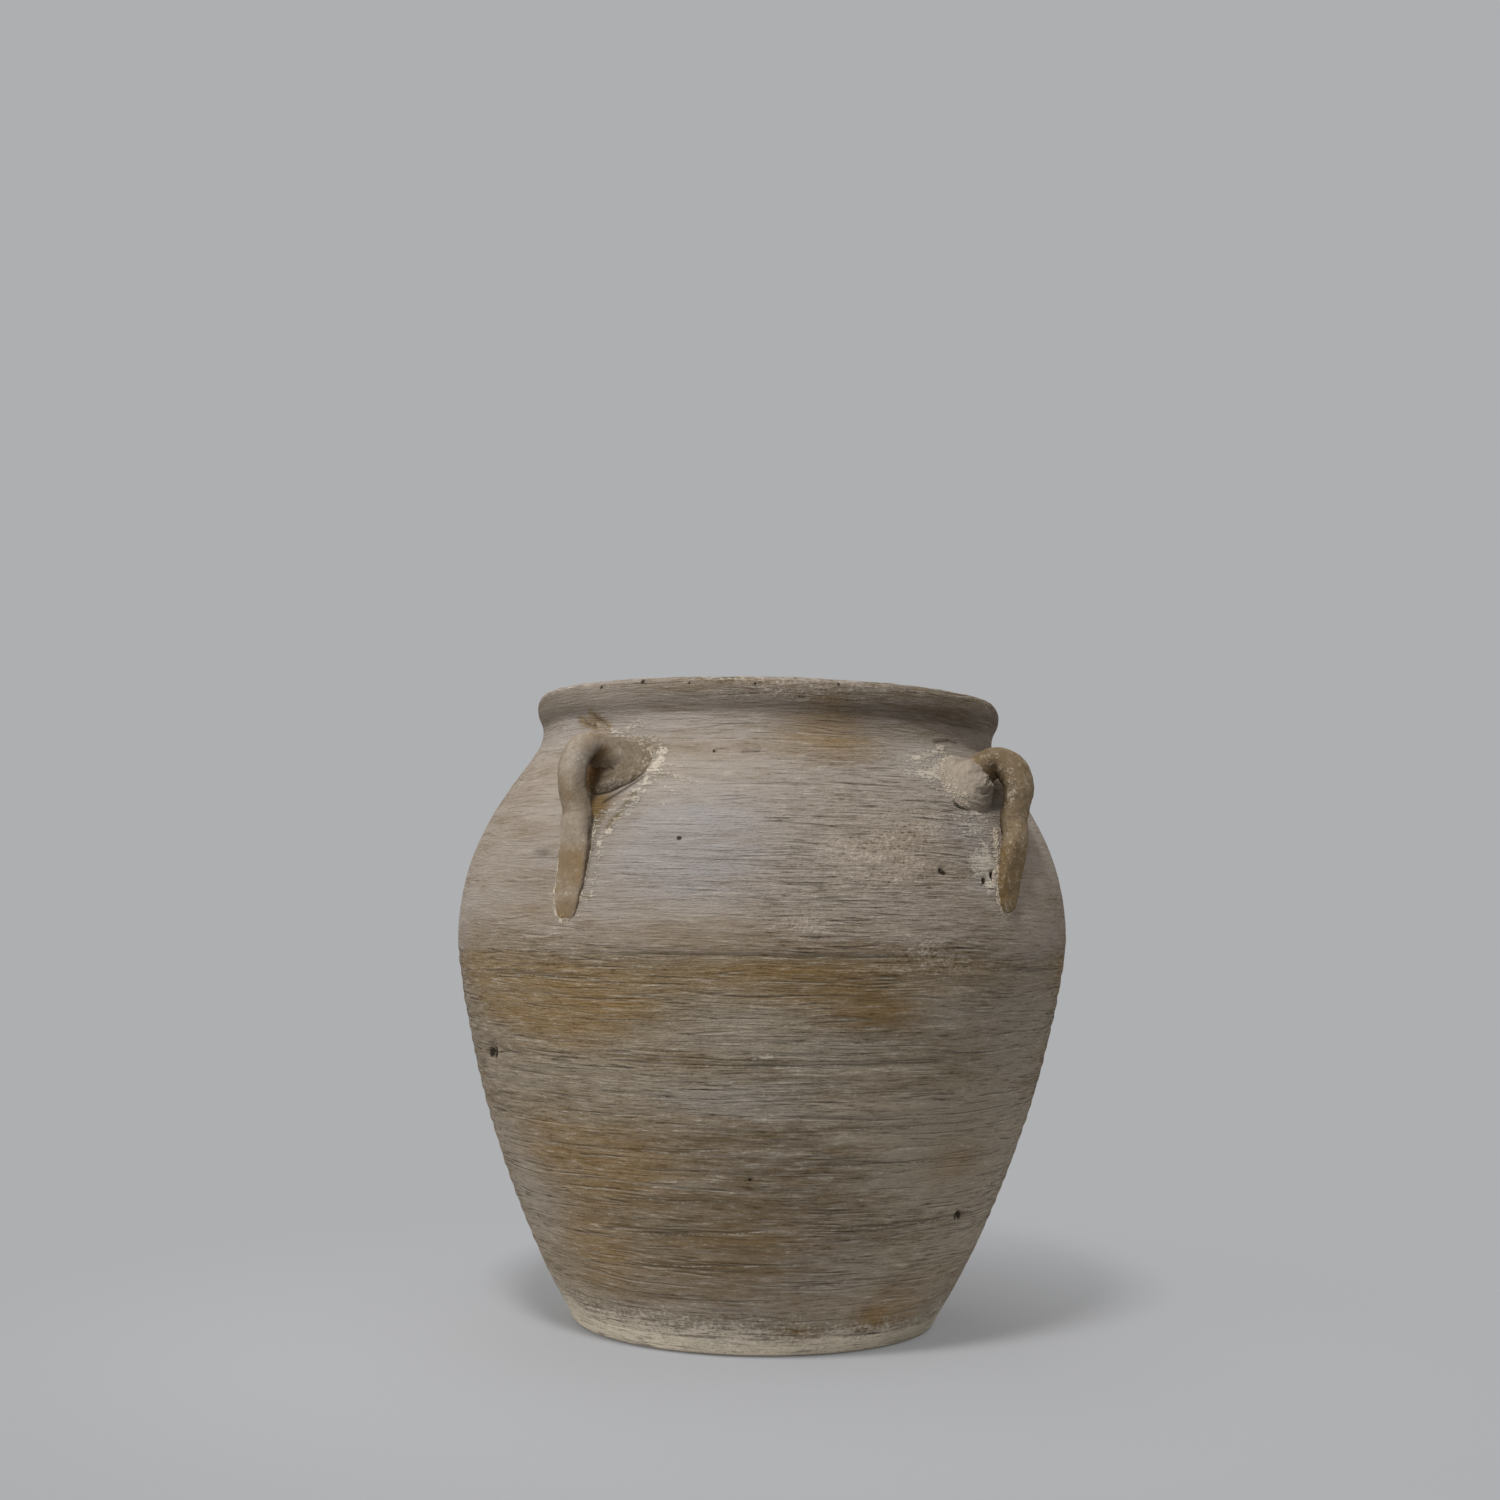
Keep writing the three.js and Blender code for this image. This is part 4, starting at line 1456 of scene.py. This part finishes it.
@dataclass(frozen=True)
class WadShape:
    """The lump of clay round a root: how far it reaches each way, and how steep each edge is.

    The eight directions go round from the right: right, up and right, up, and so on. A hump is
    (aside, height, rise, half width), and the dark cave and the ochre glow are (aside, height, half
    width). The cave is painted shade in the hollow under and behind the rope. The glow is an ochre
    stain with a little painted shade over it, and the stain and shade share scales both and the
    sooty mottle.
    """

    aside: float
    height: float
    reach: tuple[float, ...]
    steep: tuple[float, ...]
    bulge: float
    humps: tuple[tuple[float, float, float, float], ...]
    rough: float = 1.0
    washed: float = 0.5
    cave: Triple = (-3.0, -1.0, 5.0)
    glow: Triple = (-7.0, -9.0, 4.0)
    stained: float = 0.5

    def round_about(self, values: tuple[float, ...], around: Array) -> Array:
        """The eight values joined smoothly round the turn, with Catmull-Rom pieces.

        Args:
            values: one value for each direction.
            around: angles in radians, 0 to a full turn.

        Returns:
            A value for each angle.
        """
        ring = np.array(values)
        where = around / TURN * len(ring)
        i = np.floor(where).astype(int)
        t = where - i
        a, b, c, d = (ring[(i + k) % len(ring)] for k in (-1, 0, 1, 2))
        cubed = 0.5 * (-a + 3 * b - 3 * c + d) * t**3
        return b + 0.5 * (c - a) * t + 0.5 * (2 * a - 5 * b + 4 * c - d) * t**2 + cubed

    @staticmethod
    def spot(aside: Array, rise: Array, place: Triple, squash: float = 1.0) -> Array:
        """A bell round a place, exp(-(a^2 + s h^2) / half^2).

        Args:
            aside: millimetres to the right of the wad's middle.
            rise: millimetres above it.
            place: the bell's own aside, height and half width.
            squash: how much less the height counts than the side.

        Returns:
            Values of 0 to 1.
        """
        across, up, half = place
        return np.exp(-(((aside - across) ** 2 + squash * (rise - up) ** 2) / half**2))


# The top of every tail bed, and how far beds and wads are sunk in the wall, in millimetres.
BED_TOP = 236.0
BED_SUNK = 1.4
WAD_SUNK = 2.6
# On the sloping shoulder a wad's patch is this much shorter in height, and it stands off the wall
# this much outward and this much upward.
WAD_FORESHORTENED = 0.86
WAD_OUT, WAD_UP = 0.84, 0.5
# The radius, in millimetres, at which a wad's width is laid round the jar.
WAD_RADIUS = 124.0
# How many millimetres of noise run along a whole rope.
ROPE_RUN = 300


@dataclass
class LoopHandle:
    """A rope of clay: rooted in a wad under the neck, arched out, and pressed down as a flat tail.

    Each station is (radius, height, aside in degrees, width, thickness). The crack side is +1 where
    the tail has come loose along its right edge, and -1 along its left.
    """

    side: HandleSide
    stations: Array
    rope_finish: ClayFinish
    wad_finish: ClayFinish
    wad_shape: WadShape
    crack_side: float = 1.0
    crumbs: float = 0.0
    crusted: float = 0.8
    # How much painted shade darkens the rope's shaded side.
    shaded: float = 0.34
    fleck: float = 0.2
    bed_border: float = 2.2
    bed_proud: float = 0.7
    bed_aside: float = 0.35

    def sweep(self, line: Array, across: Array, out: Array) -> Array:
        """Carries a section along a line.

        Its sideways direction is the horizontal one round the jar, made square to the line, and its
        outward one is square to both.

        Args:
            line: a row of (radius, height, aside) for each ring.
            across: how far each point stands sideways, rings by sides.
            out: how far it stands outward.

        Returns:
            Points, rings by sides by 3.
        """
        turn = np.radians(self.side.value + line[:, 2])
        centre = np.stack([line[:, 0] * np.sin(turn), -line[:, 0] * np.cos(turn), line[:, 1]], axis=1)
        along = np.gradient(centre, axis=0)
        along /= np.linalg.norm(along, axis=1)[:, None]
        around = np.stack([np.cos(turn), np.sin(turn), np.zeros(len(turn))], axis=1)
        side = around - np.einsum("ij,ij->i", around, along)[:, None] * along
        side /= np.linalg.norm(side, axis=1)[:, None]
        outward = np.cross(along, side)
        return centre[:, None] + side[:, None] * across[..., None] + outward[:, None] * out[..., None]

    def rope(self) -> tuple[Array, dict[Stain, Array | float]]:
        """The rope, a rounded section carried along its line, flatter and squarer toward the tail.

        Returns:
            Its points, rings by sides by 3, and the coats at each, or one value for all.
        """
        rings, sides = 190, 52
        line = flowing(self.stations, rings)
        line[:, 3:] = np.maximum(line[:, 3:], 0.6)
        share = np.linspace(0, 1, rings)[:, None]
        around = (np.arange(sides) / sides * TURN)[None, :]
        power = 1 - 0.52 * ease(0.5, 0.72, share)
        across = np.sign(np.cos(around)) * np.abs(np.cos(around)) ** power
        out = np.sign(np.sin(around)) * np.abs(np.sin(around)) ** power
        ends = np.sqrt(np.clip(1 - (2 * share - 1) ** 24, 0.0004, 1))
        place = ClayNoise(300 + self.side.value)
        degrees = np.degrees(around)
        lumps = 1.5 * (place.spread(degrees, share * ROPE_RUN, 3, 26, 3) - 0.5)
        grit = 0.6 * (place.spread(degrees, share * ROPE_RUN + 7, 18, 5, 3) - 0.5)
        swell = (lumps + grit) * ends
        half_width, half_depth = line[:, 3:4] / 2 * ends, line[:, 4:5] / 2 * ends
        points = self.sweep(
            line, across * half_width + np.cos(around) * swell,
            out * half_depth + np.sin(around) * swell * 0.7,
        )
        return points, self.rope_coats(degrees, share, place)

    def rope_coats(self, degrees: Array, share: Array, place: ClayNoise) -> dict[Stain, Array]:
        """The coats along the rope: browner inside the loop, bare along the tail, with painted shade on its
        side facing the wall in the loop, down its shaded side, under its inner lip and in the tail's crack.

        Args:
            degrees: angle round the section, 0 at the right edge and 90 outward.
            share: how far along the rope, 0 at the root.
            place: the rope's noise.

        Returns:
            Values for each stain.
        """
        tail = ease(0.60, 0.72, share)
        loop = ease(0.06, 0.16, share) * (1 - ease(0.5, 0.62, share))
        spread = place.spread(degrees, share * ROPE_RUN, 4, 40, 3)
        mottle = place.spread(degrees, share * ROPE_RUN + 50, 6, 24, 3)
        inward = np.clip(-np.sin(np.radians(degrees)), 0, 1)
        edge = np.clip(self.crack_side * np.cos(np.radians(degrees)), 0, 1)
        other_edge = np.clip(-self.crack_side * np.cos(np.radians(degrees)), 0, 1)
        # Painted shade: a dark line in the crack along the tail's loose edge, and at the tail's end.
        crack = 0.75 * ease(0.985, 0.998, edge) * ease(0.52, 0.62, share) + ease(0.99, 0.997, share)
        joint = bump(share, 0.63, 0.03) * (0.3 + 0.7 * ease(0.4, 0.6, mottle))
        crumb = self.crumbs * loop * ease(0.5, 0.95, other_edge) * ease(0.45, 0.65, mottle)
        crust = self.crusted * tail * ease(0.7, 0.86, other_edge) * ease(0.2, 0.4, mottle)
        # Painted shade: down the rope's shaded side and under its inner lip.
        dark_side = ease(0.35, 0.95, edge) * ease(0.1, 0.2, share) * (1 - ease(0.6, 0.66, share))
        lip_shade = bump(degrees % 360, 218, 26) * loop * ease(0.3, 0.6, mottle)
        shade = self.shaded * (dark_side + lip_shade) * (0.6 + 0.8 * mottle)
        return {
            Stain.WASH: 0.55 + 0.8 * (spread - 0.5) - 0.3 * tail + 0.3 * joint - 0.5 * inward * loop,
            Stain.RUST: 0.12 + 0.35 * tail + 0.8 * inward * loop + 0.8 * (mottle - 0.5),
            Stain.CREAM: 0.12 * ease(0.55, 0.8, spread) + 0.3 * self.crusted * joint + crumb + crust,
            # The darkening on the side facing the wall inside the loop is painted shade, and so are the
            # crack and the shaded side.
            Stain.SOOT: 0.5 * inward * loop + 0.26 * other_edge * loop + 0.75 * crack + shade,
            Stain.COOL: 0.35 + 0.6 * (spread - 0.5),
            Stain.FLECK: self.fleck + 0.3 * (mottle - 0.5),
        }

    def wad(self) -> tuple[Array, dict[Stain, Array | float]]:
        """The wad: a mound over the wall, with a bell-shaped peak that the rope grows out of.

        At a share q of the reach it stands (1 - q^p)^e of its bulge, with p and e set by how steep
        that edge is, and it is closed by a base inside the wall.

        Returns:
            Its points, rings by sides by 3, and the coats at each, or one value for all.
        """
        shape = self.wad_shape
        rings, sides = 54, 112
        around = (np.arange(sides) / sides * TURN)[None, :]
        noise = ClayNoise(500 + self.side.value)
        degrees = np.degrees(around)
        edge = 1 + 0.2 * (noise.spread(degrees, 50.0, 9, 60, 3) - 0.5)
        reach = shape.round_about(shape.reach, around) * edge
        steep = np.clip(shape.round_about(shape.steep, around), 0, 1)
        share = np.sin(np.linspace(0.02, 1, rings) * math.pi / 2)[:, None]
        power, bend = 2 + 5 * steep, 1.5 - 1.15 * steep
        top = shape.bulge * np.clip(1 - share**power, 0, 1) ** bend
        aside = share * reach * np.cos(around)
        rise = share * reach * np.sin(around)
        for hump_aside, hump_height, hump_rise, half in shape.humps:
            away = np.hypot(aside - hump_aside, rise - hump_height)
            top = top + hump_rise * bump(away, 0, half) * (1 - share**6)
        grain = 2.0 * (noise.spread(degrees, share * 60, 8, 9, 3) - 0.5)
        grain = grain + 0.8 * (noise.spread(degrees, share * 90, 40, 4, 3) - 0.5)
        top = top + shape.rough * grain * (1 - share ** (2 + 8 * steep))
        lift = np.vstack([top - 0.35, np.full((rings, sides), -WAD_SUNK)])
        aside, rise = (np.vstack([v, v[::-1] * np.linspace(1, 0.98, rings)[:, None]]) for v in (aside, rise))
        height = shape.height + rise * WAD_FORESHORTENED
        radius = OUTLINE.radius(height) + lift * WAD_OUT
        turn = np.radians(self.side.value) + (shape.aside + aside) / WAD_RADIUS
        points = np.stack([radius * np.sin(turn), -radius * np.cos(turn), height + lift * WAD_UP], axis=2)
        # Painted shade: the cave darkens the hollow under the rope, and the glow adds a little shade over
        # its ochre.
        cave = shape.stained * shape.spot(aside, rise, shape.cave)
        glow = shape.stained * shape.spot(aside, rise, shape.glow, 0.4)
        both = np.vstack([share, share[::-1]])
        spread = noise.spread(degrees, both * 90, 6, 30, 3)
        # Painted shade: a thin dark line along the wad's steep edges, where it overhangs the wall.
        rim = ease(0.965, 0.99, both) * ease(0.4, 0.9, steep)
        sooty = ease(0.56, 0.72, spread) * shape.stained
        coats = {
            Stain.WASH: shape.washed + 0.7 * (spread - 0.5) - 0.6 * cave - 0.7 * glow,
            Stain.CREAM: 0.05 + 0.45 * (1 - steep) * ease(0.5, 1.0, both),
            Stain.RUST: 0.12 + 0.4 * (spread - 0.5) + 0.7 * cave + 1.0 * glow,
            Stain.SOOT: 0.75 * cave + 0.25 * glow + 0.45 * rim + 0.35 * sooty,
            Stain.COOL: 0.5,
            Stain.FLECK: 0.1 + 0.4 * np.clip(spread - 0.4, 0, 1),
        }
        return points, coats

    def bed(self) -> tuple[Array, dict[Stain, Array | float]]:
        """The bed: a thin ragged strip on the wall, a little wider than the tail that lies on it.

        Returns:
            Its points, rings by sides by 3, and the coats at each, or one value for all.
        """
        rings, sides = 90, 28
        tail = flowing(self.stations, 400)
        tail = tail[tail[:, 1] < BED_TOP + 2][::-1]
        tail = tail[np.concatenate([[True], np.diff(tail[:, 1]) > 0.001])]
        height = np.linspace(min(BED_TOP, tail[-1, 1]), tail[0, 1] - 3.0, rings)
        aside, width = (np.interp(height, tail[:, 1], tail[:, k]) for k in (2, 3))
        noise = ClayNoise(700 + self.side.value)
        ragged = 1.6 * (noise.spread(height * 3, 0.0, 24, 20, 3) - 0.35)
        share = np.linspace(0, 1, rings)
        ends = np.sqrt(np.clip(1 - (2 * share - 1) ** 10, 0.02, 1))
        half_width = (width / 2 + self.bed_border + ragged) * ends
        half_depth = (self.bed_proud + BED_SUNK) * ends
        aside = aside - self.bed_aside * self.crack_side
        line = np.stack([OUTLINE.radius(height) - 1.0, height, aside], axis=1)
        around = np.arange(sides) / sides * TURN
        across, out = np.cos(around) * half_width[:, None], np.sin(around) * half_depth[:, None]
        points = self.sweep(line, across, out)
        spread = noise.spread(share[:, None] * 360, np.cos(around) * 30 + 60, 12, 12, 3)
        cream = 0.5 + 0.5 * (spread - 0.5)
        coats = dict(zip(Stain, (0.8, cream, 0.05, 0.0, 0.2, 0.4)))
        return points, coats

    def build(self, effects: ClayEffects) -> list[Object]:
        """Builds the rope, its wad and its bed.

        Args:
            effects: the shared node groups.

        Returns:
            The three finished pieces.
        """
        parts = (
            ("rope", self.rope, self.rope_finish),
            ("root_wad", self.wad, self.wad_finish),
            ("tail_bed", self.bed, self.wad_finish),
        )
        pieces = []
        for part, shape, finish in parts:
            node = f"{self.side.label}_{part}"
            points, coats = shape()
            flat, quads, fans = capped(points)
            piece = make_piece(f"{node}_clay", settled(flat), quads, fans)
            coats = {s: np.clip(np.broadcast_to(v, points.shape[:2]), 0, 1) for s, v in coats.items()}
            pieces.append(hand_over(piece, node, finish, coats, effects))
        return pieces


def tail_station(height: float, lift: float, aside: float, width: float, depth: float) -> tuple[float, ...]:
    """A station of a tail that stands off the wall by a lift.

    Args:
        height: its height.
        lift: millimetres off the wall's outside.
        aside: degrees to one side of the handle's plane.
        width: the tail's width there.
        depth: its thickness there.

    Returns:
        Radius, height, aside, width and thickness.
    """
    return (float(OUTLINE.radius(height)) + lift, height, aside, width, depth)


def front_stations() -> Array:
    """The line of the front handle, whose tail hangs almost plumb.

    Returns:
        A row for each station.
    """
    return np.array([
        (119.0, 256.5, 3.0, 26.0, 14.0), (126.3, 262.2, 1.9, 20.5, 13.5), (134.0, 267.8, 0.7, 16.8, 11.6),
        (140.6, 264.4, 0.0, 15.0, 11.0), (143.7, 257.0, -0.1, 14.6, 10.8), (143.9, 248.5, 0.1, 14.6, 10.6),
        tail_station(239.0, 6.4, 0.6, 14.8, 10.0), tail_station(231.0, 4.4, 1.0, 15.0, 8.4),
        tail_station(222.0, 1.9, 1.3, 14.8, 6.0), tail_station(212.0, 0.8, 1.5, 14.4, 4.6),
        tail_station(203.0, 0.5, 1.4, 14.0, 3.8), tail_station(195.5, 0.2, 1.3, 12.0, 3.2),
        tail_station(190.8, 0.0, 1.3, 8.0, 2.4),
    ])


def right_stations() -> Array:
    """The line of the right handle, whose tail runs off toward the front.

    Returns:
        A row for each station.
    """
    return np.array([
        (119.0, 258.5, -4.8, 22.0, 15.0), (126.2, 262.8, -3.2, 19.5, 14.6), (133.4, 266.6, -1.6, 18.0, 14.0),
        (139.4, 263.0, -0.6, 17.6, 14.0), (142.9, 255.8, -0.6, 17.0, 13.0), (143.4, 248.0, -1.2, 15.6, 12.0),
        tail_station(240.0, 7.8, -1.8, 14.2, 11.4), tail_station(232.0, 6.2, -2.8, 13.0, 10.4),
        tail_station(224.0, 4.0, -4.1, 13.0, 8.4), tail_station(216.0, 2.2, -5.3, 13.4, 6.2),
        tail_station(208.0, 1.1, -6.3, 13.0, 4.4), tail_station(201.5, 0.8, -6.9, 10.0, 3.4),
        tail_station(197.2, 0.3, -7.1, 5.6, 2.6),
    ])


def leaning_stations(first: float, last: float, climb: float, widened: float) -> Array:
    """The line of a handle that the photograph hides: the front one's, leaning.

    Args:
        first: degrees to one side at the root.
        last: degrees to one side at the tail's end.
        climb: millimetres that the tail's end is raised by, and the rest by its share.
        widened: what its widths are multiplied by.

    Returns:
        A row for each station.
    """
    line = front_stations()
    line[:, 1] += np.linspace(0, climb, len(line))
    line[:, 2] = np.linspace(first, last, len(line))
    line[:, 3] *= widened
    return line


def placed(
    name: str, data: bpy.types.ID, axes: tuple[Array, Array, Array], origin: Array
) -> Object:
    """Links a new object that stands at an origin in metres.

    Args:
        name: its name.
        data: its mesh, lamp or camera.
        axes: unit vectors to its right, upward and backward.
        origin: where it stands.

    Returns:
        The object.
    """
    made = bpy.data.objects.new(name, data)
    bpy.context.scene.collection.objects.link(made)
    made.matrix_world = Matrix([*np.stack([*axes, origin], axis=1).tolist(), [0, 0, 0, 1]])
    return made


@dataclass(frozen=True)
class Lamp:
    """A soft square lamp: where it hangs in the camera's heading, its side in metres and its watts."""

    name: str
    place: Triple
    size: float
    power: float


LAMPS = (
    Lamp("key_lamp", (-0.28, -0.9, 1.6), 0.28, 19.6),
    Lamp("side_lamp", (-1.45, -0.8, 0.22), 0.6, 9.3),
    Lamp("back_lamp", (-0.3, 1.3, 1.4), 1.2, 5.0),
)


@dataclass
class Studio:
    """The floor, the lamps, the plain grey surround and the camera.

    The camera's place is in millimetres and its pitch and roll in radians. The floor is in metres, and
    its fade runs between two distances from the jar's axis, over a glow that it has everywhere.
    """

    grey: Colour = linear(174, 175, 177)
    camera_place: Triple = (-6.46, -951.1, 193.0)
    camera_turn: float = 36.5
    camera_pitch: float = 0.0879
    camera_roll: float = 0.0182
    lens: float = 45.815
    lamp_aim: float = 0.15
    floor: Colour = (0.44, 0.445, 0.46)
    floor_bounce: Colour = (0.93, 0.92, 0.9)
    floor_radius: float = 6.0
    floor_drop: float = 0.0004
    floor_glow: float = 0.3
    floor_fade: tuple[float, float] = (0.1, 0.42)
    ambient_tint: Colour = (1.0, 0.99, 0.97)
    ambient: float = 0.48

    def turned(self, vector: Triple | Array) -> Array:
        """Turns a direction or place from the camera's heading into the jar's frame.

        Args:
            vector: its three parts.

        Returns:
            The three turned parts.
        """
        c, s = math.cos(math.radians(self.camera_turn)), math.sin(math.radians(self.camera_turn))
        x, y, z = vector
        return np.array([x * c - y * s, x * s + y * c, z])

    def add_camera(self) -> None:
        """Puts the camera where the photograph was taken from, with its small roll and no shift."""
        p, r = self.camera_pitch, self.camera_roll
        level, raised = np.array([1.0, 0, 0]), np.array([0, -math.sin(p), math.cos(p)])
        axes = (
            self.turned(math.cos(r) * level + math.sin(r) * raised),
            self.turned(-math.sin(r) * level + math.cos(r) * raised),
            -self.turned((0, math.cos(p), math.sin(p))),
        )
        data = bpy.data.cameras.new("camera")
        data.lens = self.lens
        data.sensor_width = 36.0
        data.clip_start = 0.01
        bpy.context.scene.camera = placed("camera", data, axes, self.turned(self.camera_place) * MM)

    def add_lamp(self, lamp: Lamp) -> None:
        """Hangs a lamp, aimed at the jar's middle."""
        data = bpy.data.lights.new(lamp.name, "AREA")
        data.size = lamp.size
        data.energy = lamp.power
        origin = self.turned(lamp.place)
        back = origin - np.array([0, 0, self.lamp_aim])
        back /= np.linalg.norm(back)
        right = np.cross([0, 0, 1.0], back)
        right /= np.linalg.norm(right)
        placed(lamp.name, data, (right, np.cross(back, right), back), origin)

    def add_floor(self) -> None:
        """A wide pale floor that fades into the grey surround away from the jar.

        It throws more light up at the jar than the camera sees on it, as a white studio floor does.
        """
        sides = 96
        turn = np.arange(sides) / sides * TURN
        rim = np.stack([np.cos(turn), np.sin(turn), np.zeros(sides)], axis=1) * self.floor_radius
        rim[:, 2] = -self.floor_drop
        mesh = bpy.data.meshes.new("floor")
        mesh.from_pydata(rim.tolist(), [], [list(range(sides))])
        floor = placed("floor", mesh, tuple(np.eye(3)), np.zeros(3))
        material = bpy.data.materials.new("pale_floor")
        material.use_nodes = True
        nodes = material.node_tree.nodes
        nodes.remove(nodes["Principled BSDF"])
        bench = NodeBench(material.node_tree)
        seen = bench.node("ShaderNodeLightPath").outputs["Is Camera Ray"]
        matt = bench.node("ShaderNodeBsdfDiffuse")
        bench.fill(matt, Color=bench.blend(seen, self.floor_bounce, self.floor))
        glow = bench.fill(bench.node("ShaderNodeEmission"), Color=self.grey)
        far = bench.node("ShaderNodeVectorMath", operation="LENGTH")
        bench.feed(far.inputs[0], bench.object_point())
        faded = bench.rise(far.outputs["Value"], *self.floor_fade, 1 - self.floor_glow)
        share = bench.add(self.floor_glow, faded)
        bench.fill(nodes["Material Output"], Surface=bench.blend_shaders(share, matt, glow))
        mesh.materials.append(material)

    def add_surround(self) -> None:
        """A world that looks plain grey to the camera and lights the jar softly from all round."""
        world = bpy.data.worlds.new("plain_grey")
        bpy.context.scene.world = world
        world.use_nodes = True
        bench = NodeBench(world.node_tree)
        nodes = world.node_tree.nodes
        lit = bench.fill(nodes["Background"], Color=self.ambient_tint, Strength=self.ambient)
        seen = bench.fill(bench.node("ShaderNodeBackground"), Color=self.grey)
        path = bench.node("ShaderNodeLightPath").outputs
        direct = bench.most(path["Is Camera Ray"], path["Is Glossy Ray"])
        direct = bench.most(direct, path["Is Transmission Ray"])
        bench.fill(nodes["World Output"], Surface=bench.blend_shaders(direct, lit, seen))

    def build(self) -> None:
        """Sets the whole studio up."""
        bpy.context.scene.view_settings.view_transform = "Standard"
        self.add_camera()
        self.add_surround()
        self.add_floor()
        for lamp in LAMPS:
            self.add_lamp(lamp)


COARSE = ClayFinish("coarse_washed_clay", "coarse_clay", ochre=linear(130, 104, 64), bump_distance=0.00125)
# The foot band's paler washes are partly painted light from the floor below.
FOOT = ClayFinish(
    "foot_band_clay", "coarse_clay", warm_wash=linear(206, 193, 169), cool_wash=linear(198, 190, 175)
)
SMOOTH = ClayFinish(
    "smooth_washed_clay", "washed_clay", warm_wash=linear(158, 145, 131), cool_wash=linear(149, 143, 140)
)
GREY_ROPE = ClayFinish(
    "grey_brown_rope_clay", "rope_clay", clay=linear(120, 103, 80), ochre=linear(118, 90, 50),
    warm_wash=linear(149, 136, 119), cool_wash=linear(140, 130, 120), texture=Texture.RUBBED,
    bump_distance=0.0004,
)
TAN_ROPE = ClayFinish(
    "tan_rope_clay", "rope_clay", clay=linear(108, 91, 67), ochre=linear(112, 88, 52),
    warm_wash=linear(133, 114, 88), cool_wash=linear(122, 107, 86), texture=Texture.RUBBED,
    bump_distance=0.0004,
)
# Its ochre is a dark ochre, partly painted shade for the glow under the front rope.
SOFT = ClayFinish(
    "soft_luting_clay", "soft_clay", clay=linear(110, 96, 78), ochre=linear(116, 82, 42),
    warm_wash=linear(162, 147, 131), cool_wash=linear(146, 136, 124), pale=linear(194, 182, 162),
    texture=Texture.RUBBED, bump_distance=0.0008,
)
FRONT_WAD = WadShape(
    5.0, 259.0, (20.5, 20.0, 15.5, 15.0, 15.0, 14.5, 15.5, 14.8), (0.7, 0.3, 0.1, 0.1, 0.4, 0.7, 0.75, 0.8),
    bulge=4.4, humps=((-1.0, 5.0, 9.5, 9.0),), washed=0.36, cave=(-1.0, -0.5, 5.5), glow=(-5.5, -8.5, 5.0),
    stained=1.0,
)
RIGHT_WAD = WadShape(
    -9.0, 256.5, (10.5, 11.0, 15.0, 20.0, 26.0, 20.0, 14.0, 11.0), (0.1, 0.1, 0.0, 0.0, 0.0, 0.45, 0.3, 0.1),
    bulge=5.0, humps=((-5.0, 3.0, 6.0, 9.5), (0.0, 6.5, 4.0, 5.0), (3.0, -6.0, 2.0, 3.5)), rough=1.5,
    washed=0.9, cave=(10.0, 3.0, 4.5), glow=(6.0, 1.0, 4.0), stained=0.9,
)
BACK_WAD = WadShape(
    1.0, 257.5, (17.0, 16.0, 15.5, 16.0, 17.0, 16.0, 16.0, 16.5), (0.7, 0.2, 0.1, 0.2, 0.5, 0.8, 0.9, 0.8),
    bulge=5.5, humps=((0.0, 5.0, 9.0, 9.0),),
)
LEFT_WAD = WadShape(
    -3.0, 257.0, (16.0, 15.0, 15.0, 17.0, 18.5, 17.0, 16.5, 16.0), (0.4, 0.1, 0.1, 0.2, 0.6, 0.9, 1.0, 0.8),
    bulge=5.5, humps=((2.0, 5.0, 9.0, 9.0),),
)


def build_jar(effects: ClayEffects) -> list[Object]:
    """Builds the four thrown rings and the four handles.

    Args:
        effects: the shared node groups.

    Returns:
        Every piece of the jar.
    """
    columns = {"base_slab": 480, "lower_wall": 512, "shoulder_wall": 640, "rim_collar": 640}
    finishes = {"base_slab": FOOT, "lower_wall": COARSE, "shoulder_wall": SMOOTH, "rim_collar": SMOOTH}
    pieces = [
        ThrownWall(node, columns[node], finishes[node], line, shown).build(effects)
        for node, (line, shown) in wall_profiles().items()
    ]
    handles = (
        LoopHandle(HandleSide.FRONT, front_stations(), GREY_ROPE, SOFT, FRONT_WAD),
        LoopHandle(
            HandleSide.RIGHT, right_stations(), TAN_ROPE, SOFT, RIGHT_WAD,
            crumbs=0.2, crusted=0.12, bed_aside=0.0, fleck=0.45,
        ),
        LoopHandle(
            HandleSide.BACK, leaning_stations(1.2, -2.6, 2.0, 1.0), GREY_ROPE, SOFT, BACK_WAD,
            crack_side=-1.0,
        ),
        LoopHandle(HandleSide.LEFT, leaning_stations(-1.5, 3.0, 0.0, 1.03), TAN_ROPE, SOFT, LEFT_WAD),
    )
    for handle in handles:
        pieces.extend(handle.build(effects))
    return pieces


def main() -> None:
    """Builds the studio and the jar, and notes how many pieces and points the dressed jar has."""
    Studio().build()
    pieces = build_jar(ClayEffects())
    LOG.info("%d pieces, %d points", len(pieces), sum(len(p.data.vertices) for p in pieces))


if __name__ == "__main__":
    main()
